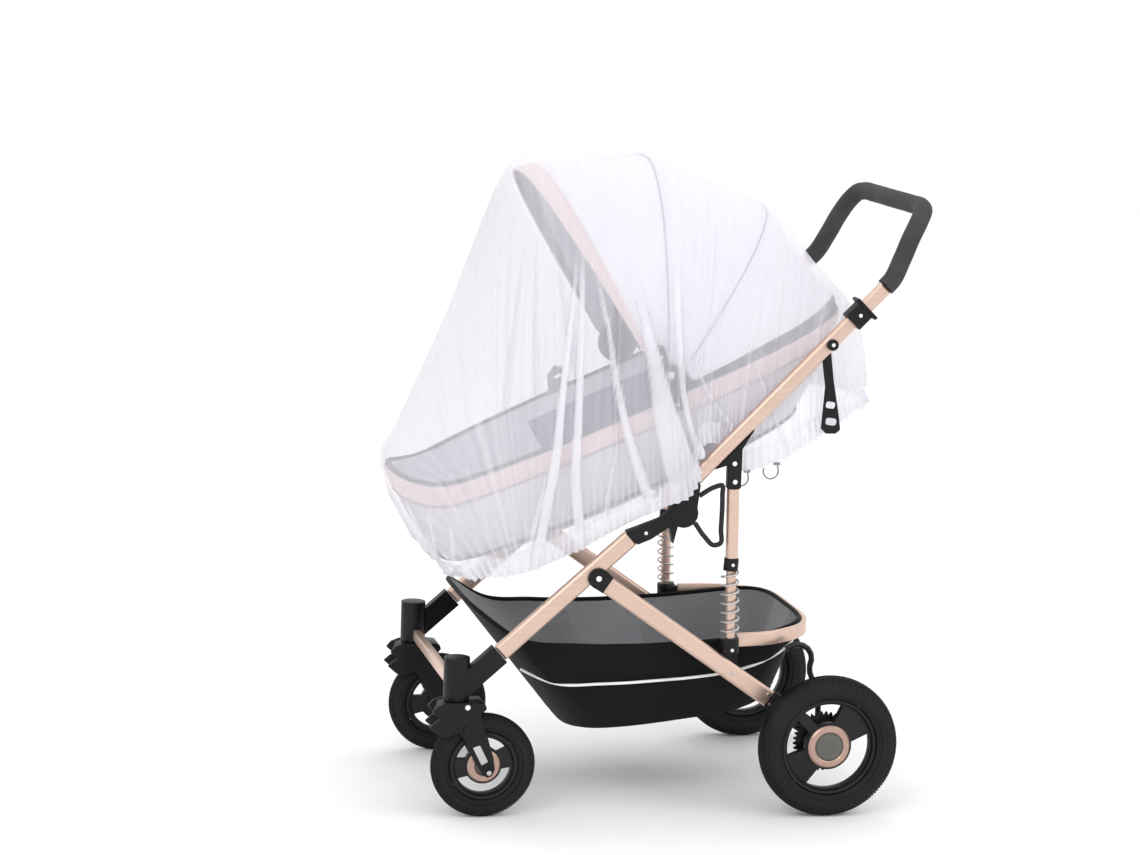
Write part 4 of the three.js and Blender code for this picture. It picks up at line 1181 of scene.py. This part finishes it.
@dataclass
class Basket:
    """The shopping basket: a soft black bag with a grey mesh inside, a bound rim and white piping."""

    around: int = 160
    rim_half: float = 0.191
    rim_middle: float = -0.0245
    rim_reach: float = 0.3075
    floor_half: float = 0.150
    floor_middle: float = 0.023
    floor_front: float = 0.168
    floor_rear: float = 0.214
    sag: float = 0.006
    square: float = 4.5
    rim_places: tuple[float, ...] = (-.332, -.250, -.150, .040, .160, .283)
    rim_heights: tuple[float, ...] = (.352, .300, .290, .291, .300, .318)
    floor_places: tuple[float, ...] = (-.150, .040, .186, .240)
    floor_heights: tuple[float, ...] = (.121, .139, .165, .188)

    def points(self, turn: np.ndarray, level: np.ndarray, share: np.ndarray, inset: float) -> np.ndarray:
        """Finds points of the bag.

        Args:
            turn: Radians round the plan.
            level: 0 at the floor, 1 at the rim.
            share: Share of the floor's plan, 1 on the wall.
            inset: Distance in from the outer face.

        Returns:
            An array of points.
        """
        power = 2 / self.square
        c, s = bent(np.cos(turn), power), bent(np.sin(turn), power)
        middle = self.floor_middle
        rim_x = self.rim_middle + self.rim_reach * c
        floor_x = middle + np.where(c < 0, self.floor_front, self.floor_rear) * c
        shrink = 1 - inset / self.rim_half
        sag = self.sag * np.sin(math.pi * level) * (1 + 0.5 * np.sin(5 * turn))
        x = middle + ((floor_x + (rim_x - floor_x) * level) - middle) * share * shrink
        y = s * (self.floor_half + (self.rim_half - self.floor_half) * level + sag - inset) * share
        floor = curve_through(self.floor_places, self.floor_heights, middle + (floor_x - middle) * share)
        rim = curve_through(self.rim_places, self.rim_heights, rim_x)
        return np.stack([x, y, floor + (rim - floor) * level], axis=-1)

    def wall(self, inset: float, from_level: float, cells: int) -> bmesh.types.BMesh:
        """Bends the bag's floor and wall, or its inside, from a grid."""
        def place(u: np.ndarray, v: np.ndarray) -> np.ndarray:
            """Lays the grid out from the floor's middle and up the wall."""
            share = np.clip(v / 0.3, 0, 1) ** 0.8
            level = from_level + (1 - from_level) * np.clip((v - 0.27) / 0.73, 0, 1) ** 1.1
            return self.points(2 * math.pi * u, level, share, inset)
        return warped_grid(place, self.around, cells, close=True)

    def build(self, finishes: Finishes) -> None:
        """Makes the basket's pieces."""
        bag = shown("basket_bag", self.wall(0.0, 0.0, 60), [finishes.basket_cloth],
                    ("basket",))
        inner = self.wall(0.004, 0.035, 60)
        bmesh.ops.reverse_faces(inner, faces=inner.faces)
        lining = shown("basket_mesh", inner, [finishes.basket_mesh])
        turns = np.linspace(0, 2 * math.pi, self.around, endpoint=False)
        rim = self.points(turns, np.ones(self.around), np.ones(self.around), 0.002)
        shown("basket_rim", tube(rim, 0.0042, 8, closed=True), [finishes.basket_cloth])
        self.piping(finishes)
        log.info("basket: bag, mesh, rim and piping")

    def piping(self, finishes: Finishes) -> None:
        """Makes the white piping along each side, which dips towards the front."""
        steps, clear_of_ends = 60, 0.42
        shares = np.linspace(0, 1, steps)
        turn = math.pi - clear_of_ends - shares * (math.pi - 2 * clear_of_ends)
        level = curve_through([0, 0.45, 0.8, 1.0], [0.50, 0.56, 0.66, 0.80], shares)
        line = self.points(turn, level, np.ones(steps), -0.0018)
        pair("basket_piping", tube(line, 0.0026, 8), finishes.piping)


# Wheels


@dataclass
class Wheel:
    """One size of wheel, built for the far side: tyre with tread, rim with three windows, ring and cap.

    A window is the pair of angles in degrees that it lies between, ring_face is how far the ring's inner
    face stands out from the wheel's middle plane, and blocks is how many tread blocks go round.
    """

    word: str
    x: float
    y: float
    radius: float
    half_width: float
    rim_radius: float
    ring_radius: float
    ring_face: float
    ring_hole: float
    windows: tuple[tuple[float, float], ...]
    blocks: int
    crown_depth: float = 0.0062
    shoulder_depth: float = 0.0130
    centre_groove: float = 0.002
    block_gap: float = 0.0009
    block_height: float = 0.0024
    facets: int = 32

    @property
    def z(self) -> float:
        """The axle's height: the frame's tyre stands on the flat of one facet."""
        return self.radius * math.cos(math.pi / self.facets)

    @property
    def middle(self) -> Triple:
        """The wheel's middle point."""
        return self.x, self.y, self.z

    def build(self, finishes: Finishes) -> None:
        """Makes the wheel on both sides."""
        self.tyre(finishes)
        self.rim(finishes)
        self.ring(finishes)
        log.info("%s wheels", self.word)

    def tyre(self, finishes: Finishes) -> None:
        """Makes the tyre: a round section whose crown carries raised blocks between grooves."""
        r, w, inner = self.z, self.half_width, self.rim_radius
        half = [
            (r - 0.0026, 0.0016), (r - 0.0027, 0.0058), (r - 0.0040, w - 0.0095), (r - 0.0078, w - 0.0050),
            (r - 0.0140, w - 0.0018), (r - 0.0150, w - 0.0006), (r - 0.0220, w),
            (inner + 0.009, w - 0.0010), (inner + 0.008, w - 0.0026), (inner + 0.004, w - 0.0030),
            (inner, w - 0.0060),
        ]
        bm = turned([(out, -across) for out, across in reversed(half)] + half, self.middle, self.blocks)
        self.tread(bm)
        pair(f"{self.word}_tyre_round", bm, finishes.tyre, f"{self.word}_tyre", 25)

    def tread(self, bm: bmesh.types.BMesh) -> None:
        """Raises blocks on the crown and on both shoulders, staggered round the tyre."""
        blocks = []
        for face in bm.faces:
            centre = face.calc_center_median()
            out = math.hypot(centre.x - self.x, centre.z - self.z)
            turn = math.atan2(centre.z - self.z, centre.x - self.x)
            row = int((turn / (2 * math.pi) + 0.5) * self.blocks)
            depth = self.z - out
            crown = depth < self.crown_depth and abs(centre.y - self.y) > self.centre_groove
            shoulder = self.crown_depth <= depth < self.shoulder_depth and row % 2
            if crown or shoulder:
                blocks.append(face)
        bmesh.ops.inset_individual(bm, faces=blocks, thickness=self.block_gap, depth=0.0)
        for face in bmesh.ops.extrude_discrete_faces(bm, faces=blocks)["faces"]:
            for vert in face.verts:
                away = Vector((vert.co.x - self.x, 0, vert.co.z - self.z)).normalized()
                vert.co += away * self.block_height

    def rim(self, finishes: Finishes) -> None:
        """Makes the rim: a channel under the tyre, a web with three windows and a stepped hub."""
        outer, ring = self.rim_radius, self.ring_radius
        channel = turned([
            (outer - 0.0004, -0.0125), (outer - 0.0004, 0.0125), (outer - 0.0030, 0.0142),
            (outer - 0.0065, 0.0130), (outer - 0.0085, 0.0100), (outer - 0.0090, 0.0),
            (outer - 0.0085, -0.0100), (outer - 0.0065, -0.0130), (outer - 0.0030, -0.0142),
        ], self.middle)
        hub = turned([
            (0.004, -0.0135), (ring - 0.002, -0.0135), (ring + 0.0015, -0.0105), (ring + 0.0015, 0.0080),
            (ring - 0.0010, 0.0098), (0.004, 0.0098),
        ], self.middle, 64)
        holes = tuple(self.window(low, high, ring + 0.0035, outer - 0.0110) for low, high in self.windows)
        circle = oval(self.x, self.z, outer - 0.0060, outer - 0.0060, power=1.0, sides=72)
        web = plate(circle, self.y - 0.0080, self.y + 0.0072, 0.0016, holes)
        pair(f"{self.word}_rim_spoked", joined(channel, hub, web), finishes.rim_plastic,
             f"{self.word}_rim", 35)

    def window(self, low: float, high: float, inner: float, outer: float) -> Outline:
        """Lists the corners of a window between two angles in degrees and two radii."""
        narrow = min(7.0, (high - low) / 8)
        outside, inside = np.linspace(low, high, 20), np.linspace(high - narrow, low + narrow, 16)
        turn = np.radians(np.concatenate([outside, inside]))
        radius = np.concatenate([np.full(len(outside), outer), np.full(len(inside), inner)])
        return list(zip(self.x + radius * np.cos(turn), self.z + radius * np.sin(turn)))

    def ring(self, finishes: Finishes) -> None:
        """Makes the anodised ring and the cap inside it."""
        r, face, hole = self.ring_radius, self.ring_face, self.ring_hole
        ring = turned([
            (hole, face), (hole, face + 0.002), (hole + 0.002, face + 0.0034), (r - 0.003, face + 0.0034),
            (r, face + 0.001), (r, face),
        ], self.middle, 72)
        pair(f"{self.word}_ring_turned", ring, finishes.ring_metal,
             f"{self.word}_ring", 30)
        cap = turned([
            (0.0, face - 0.002), (hole - 0.0006, face - 0.002), (hole - 0.0006, face + 0.0012),
            (hole - 0.003, face + 0.0032), (0.006, face + 0.0042), (0.0, face + 0.0043),
        ], self.middle, 48)
        pair(f"{self.word}_cap", cap, finishes.cap_plastic, smooth_angle=30)


@dataclass
class BrakedWheel(Wheel):
    """A rear wheel, with the toothed brake disc on the axle inboard of it."""

    teeth: int = 36
    root: float = 0.0475
    tip: float = 0.0530

    def build(self, finishes: Finishes) -> None:
        """Makes both wheels and their brake discs."""
        super().build(finishes)
        turns = np.linspace(0, 2 * math.pi, self.teeth * 4, endpoint=False)
        outs = np.tile([self.root, self.tip, self.tip, self.root], self.teeth)
        outline = list(zip(self.x + outs * np.cos(turns), self.z + outs * np.sin(turns)))
        gear = plate(outline, self.y - 0.0345, self.y - 0.0285, 0.0005)
        pair("brake_disc", gear, finishes.rim_plastic)


REAR_WHEEL = BrakedWheel(
    word="rear", x=0.287, y=0.273, radius=0.125, half_width=0.021, rim_radius=0.086, ring_radius=0.038,
    ring_face=0.0103, ring_hole=0.025, windows=((-120, 17), (72, 127), (139, 193)), blocks=128,
)
FRONT_WHEEL = Wheel(
    word="front", x=-0.315, y=0.222, radius=0.0915, half_width=0.017, rim_radius=0.060, ring_radius=0.029,
    ring_face=0.0096, ring_hole=0.015, windows=((-153, -5), (38, 95), (107, 165)), blocks=108,
)


# Chassis


@dataclass
class Chassis:
    """The folding frame: anodised flat tubes, black joints with white rivets, and the rear suspension.

    On the far side, middle is the y of the tubes' middle plane and face that of their outer faces.
    """

    middle: float = 0.227
    face: float = 0.236

    def build(self, finishes: Finishes) -> None:
        """Makes the chassis."""
        self.tubes(finishes)
        self.joints(finishes)
        self.suspension(finishes)
        self.handle(finishes)
        self.rear(finishes)
        log.info("chassis")

    def tubes(self, finishes: Finishes) -> None:
        """Softens the edges of the anodised tubes."""
        for name in ("lower_tube", "upper_tube", "rear_leg"):
            pair(f"{name}_anodised", softened(f"{name}_far", 0.0016), finishes.champagne,
                 name, 30)
        shown("front_crossbar_anodised", softened("front_crossbar", 0.003), [finishes.champagne],
              ("front_crossbar",))

    def joints(self, finishes: Finishes) -> None:
        """Softens the moulded joints and adds their rivets."""
        for name, width in (
            ("hub", 0.0022), ("knuckle", 0.0012), ("clamp", 0.0015), ("tube_knob", 0.002),
            ("strut_bracket", 0.002),
        ):
            pair(f"{name}_moulded", softened(f"{name}_far", width), finishes.black_plastic,
                 name)
        rivets = [
            (-0.126, 0.419, self.face + 0.0058, 0.0050), (-0.045, 0.497, self.middle + 0.010, 0.0032),
            (0.108, 0.617, self.middle + 0.008, 0.0042), (0.110, 0.585, self.middle + 0.008, 0.0042),
            (0.319, 0.876, self.middle + 0.015, 0.0034), (0.272, 0.825, self.face + 0.0088, 0.0034),
            (0.1114, 0.440, self.middle + 0.013, 0.0030), (0.1158, 0.290, self.middle + 0.016, 0.0030),
        ]
        dots = [disc(x, z, r, y - 0.0005, y + 0.0014, 0.0008, 18) for x, z, y, r in rivets]
        pair("white_rivet", joined(*dots), finishes.white_plastic)
        pins = [disc(x, z, 0.0034, self.face - 0.0005, self.face + 0.0016, 0.0008, 18)
                for x, z in ((0.121, 0.247), (0.187, 0.209), (0.190, 0.190))]
        pair("leg_rivet", joined(*pins), finishes.spring_wire)

    def suspension(self, finishes: Finishes) -> None:
        """Makes the strut, its coil spring, its socket and the bent bar behind the hub."""
        y = self.middle
        strut = tube([(0.109, y, 0.5722), (0.112, y, 0.4509)], 0.011, 32)
        pair("strut_rod", strut, finishes.champagne, "strut_tube")
        turns, per_turn, coil_radius = 7, 26, 0.0145
        share = np.linspace(0, 1, turns * per_turn + 1)
        turn = 2 * math.pi * turns * share
        x = 0.110 + 0.005 * share + coil_radius * np.cos(turn)
        coil = np.stack([x, y + coil_radius * np.sin(turn), 0.4258 - 0.1144 * share], axis=-1)
        pair("spring_coil", tube(coil, 0.0020, 10), finishes.spring_wire, "spring")
        guide = tube([(0.1122, y, 0.4280), (0.1150, y, 0.3090)], 0.0088, 28)
        pair("spring_guide", guide, finishes.champagne)
        pair("socket", softened("strut_socket_far", 0.0012), finishes.black_plastic,
             "strut_socket")
        bar = rounded_route([
            (0.044, y, 0.512), (0.062, y, 0.488), (0.080, y, 0.473), (0.090, y, 0.476), (0.0905, y, 0.500),
            (0.0905, y, 0.560), (0.089, y, 0.578), (0.076, y, 0.575), (0.0494, y, 0.5598),
        ])
        pair("bent_bar", tube(bar, 0.0043, 14), finishes.black_steel, "u_bar")

    def handle(self, finishes: Finishes) -> None:
        """Makes the foam grip round the push handle."""
        half = [
            (0.3664, 0.226, 0.9245), (0.376, 0.225, 0.9342), (0.396, 0.217, 0.970), (0.414, 0.209, 1.008),
            (0.430, 0.200, 1.036), (0.441, 0.186, 1.052), (0.446, 0.162, 1.057), (0.447, 0.110, 1.058),
        ]
        route = half + [(0.447, 0.0, 1.058)] + [(x, -y, z) for x, y, z in reversed(half)]
        grip = tube(rounded_route(route, 10), 0.0162, 28)
        shown("grip_foam", grip, [finishes.grip], ("handle_grip",), 60)

    def rear(self, finishes: Finishes) -> None:
        """Makes the hoop behind the basket, the axle with its stays, and the strap."""
        shown("rear_hoop_anodised", softened("rear_hoop", 0.002), [finishes.champagne],
              ("rear_hoop",), 30)
        shown("rear_axle_coated", softened("rear_axle", 0.0008), [finishes.black_steel],
              ("rear_axle",))
        outline = [
            (.2586, .7958), (.2736, .8111), (.281, .760), (.293, .700), (.297, .675), (.289, .668),
            (.271, .668), (.262, .677), (.263, .700), (.266, .750),
        ]
        slots = (oval(.2772, .7180, .0085, .0060, -8), oval(.2795, .6890, .0100, .0064, -8))
        strap = plate(outline, -0.2280, -0.2250, 0.0008, slots)
        shown("hanging_strap", strap, [finishes.black_plastic], ("strap",))


@dataclass
class FrontSwivel:
    """The front wheel's swivel: round housing with its sleeve, crown and fork."""

    y: float = FRONT_WHEEL.y
    arm_inside: float = 0.020
    arm_outside: float = 0.027

    def build(self, finishes: Finishes) -> None:
        """Makes the swivels."""
        pair("swivel_housing", softened("front_housing_far", 0.0025), finishes.black_plastic,
             "front_housing")
        arm = [
            (-.387, .2070), (-.349, .2068), (-.329, .2066), (-.318, .204), (-.315, .195), (-.325, .187),
            (-.319, .165), (-.311, .141), (-.301, .108), (-.298, .088), (-.303, .077), (-.311, .074),
            (-.319, .079), (-.327, .091), (-.337, .108), (-.353, .140), (-.362, .154), (-.372, .150),
            (-.383, .145), (-.398, .151), (-.414, .165), (-.404, .174), (-.396, .179), (-.410, .191),
            (-.402, .201),
        ]
        crown = [
            (-.320, .2066), (-.314, .196), (-.322, .186), (-.345, .185), (-.392, .183), (-.402, .190),
            (-.396, .202), (-.382, .2066),
        ]
        face = self.y + self.arm_outside
        inner = plate(arm, self.y - self.arm_outside, self.y - self.arm_inside, 0.0020)
        outer = plate(arm, self.y + self.arm_inside, face, 0.0020)
        body = plate(crown, self.y - 0.0268, self.y + 0.0268, 0.0040)
        cap = plate(oval(-.3475, .153, .0062, .0125, 22, 0.8), face - 0.0005, face + 0.0022, 0.0012)
        pair("swivel_fork", joined(inner, outer, body, cap), finishes.black_plastic,
             "front_fork")
        corners = [(-.338, .128), (-.326, .132), (-.311, .103), (-.322, .097)]
        patch = plate(corners, face - 0.0004, face + 0.0006, 0.0002)
        pair("fork_patch", patch, finishes.grey_patch)
        rivet = disc(-.349, .199, .0046, face - 0.0005, face + 0.0015, 0.0009, 24)
        pair("fork_rivet", rivet, finishes.white_plastic)
        bolt = disc(-.309, .0835, .0050, face - 0.0005, face + 0.0042, 0.0012, 6)
        pair("fork_bolt", bolt, finishes.spring_wire)
        log.info("front swivels")


@dataclass
class Hooks:
    """The net's wire hooks, each a short open ring that hangs from a tab at the hem."""

    radius: float = 0.0135
    wire: float = 0.0014

    def build(self, finishes: Finishes) -> None:
        """Makes both hooks on the near side."""
        for name, x, z, y, start, end in (
            ("rear", 0.181, 0.5992, 0.2075, 28, -205),
            ("front", 0.127, 0.5872, 0.2095, 25, -200),
        ):
            turn = np.radians(np.linspace(start, end, 40))
            ring = [(x + self.radius * math.cos(t), -y, z + self.radius * math.sin(t)) for t in turn]
            top = (ring[0][0], -y, ring[0][2] + 0.006)
            tab = bmesh.new()
            placed = Matrix.Translation((top[0] - 0.0015, -y, top[2] + 0.0005))
            tab_size = Matrix.Diagonal((0.012, 0.0045, 0.005, 1.0))
            bmesh.ops.create_cube(tab, size=1.0, matrix=placed @ tab_size)
            rounded_edges(tab, 0.001)
            hook = joined(tube([top, *ring], self.wire, 10), tab)
            shown(f"hook_{name}", hook, [finishes.hook_wire], (f"net_hook_{name}",))
        log.info("net hooks")


# Stage


@dataclass
class Studio:
    """Pale floor, soft lights and the camera that saw the photograph."""

    position: Triple = (-1.345, -5.324, 1.516)
    right: Triple = (0.9756, -0.2167, 0.0350)
    up: Triple = (0.0005, 0.1619, 0.9868)
    focal_px: float = 3117.9
    image_width_px: float = 1140.0
    sensor_mm: float = 36.0
    floor_size: float = 400.0
    sky_strength: float = 1.1
    lit_point: Triple = (0.0, 0.0, 0.6)
    lamps: tuple[tuple[str, Triple, float, float], ...] = (
        ("key", (-2.6, -3.4, 3.6), 2.6, 42.0),
        ("fill", (3.2, -2.6, 2.4), 2.4, 16.0),
        ("top", (0.3, 1.2, 4.2), 3.0, 22.0),
    )

    def build(self) -> None:
        """Makes the camera, the floor and the lights."""
        camera = bpy.data.cameras.new("camera")
        camera.sensor_width = self.sensor_mm
        camera.lens = self.focal_px / self.image_width_px * self.sensor_mm
        camera.clip_end = 100.0
        holder = bpy.data.objects.new("camera", camera)
        bpy.context.scene.collection.objects.link(holder)
        right, up = Vector(self.right).normalized(), Vector(self.up).normalized()
        turn = Matrix((right, up, right.cross(up).normalized())).transposed()
        holder.matrix_world = Matrix.Translation(self.position) @ turn.to_4x4()
        bpy.context.scene.camera = holder
        self.floor()
        self.lights()

    def floor(self) -> None:
        """Makes the pale floor."""
        bm = bmesh.new()
        bmesh.ops.create_grid(bm, x_segments=1, y_segments=1, size=self.floor_size)
        mesh = bpy.data.meshes.new("floor")
        bm.to_mesh(mesh)
        bm.free()
        paper = Moulded("pale_paper", "#f8f8f9", "#f6f6f7", 0.9, 4.0, 0.02, 0.05)
        mesh.materials.append(paper.material())
        floor = bpy.data.objects.new("floor", mesh)
        bpy.context.scene.collection.objects.link(floor)

    def lights(self) -> None:
        """Sets an even white sky, a soft key from the camera's left and a fill from its right."""
        world = bpy.data.worlds.new("white_studio")
        world.use_nodes = True
        sky = world.node_tree.nodes["Background"]
        sky.inputs["Color"].default_value = linear("#ffffff")
        sky.inputs["Strength"].default_value = self.sky_strength
        bpy.context.scene.world = world
        for name, place, size, power in self.lamps:
            lamp = bpy.data.lights.new(name, "AREA")
            lamp.size, lamp.energy = size, power
            holder = bpy.data.objects.new(name, lamp)
            holder.location = place
            holder.rotation_mode = "QUATERNION"
            aim = Vector(self.lit_point) - Vector(place)
            holder.rotation_quaternion = aim.to_track_quat("-Z", "Y")
            bpy.context.scene.collection.objects.link(holder)
        scene = bpy.context.scene
        scene.view_settings.view_transform = "Standard"
        scene.cycles.transparent_max_bounces = 24


def main() -> None:
    """Builds the whole scene."""
    finishes = Finishes()
    Studio().build()
    Hood().build(finishes)
    Carrycot().build(finishes)
    Basket().build(finishes)
    REAR_WHEEL.build(finishes)
    FRONT_WHEEL.build(finishes)
    FrontSwivel().build(finishes)
    Chassis().build(finishes)
    Hooks().build(finishes)
    NetCloth().build(finishes)


if __name__ == "__main__":
    main()
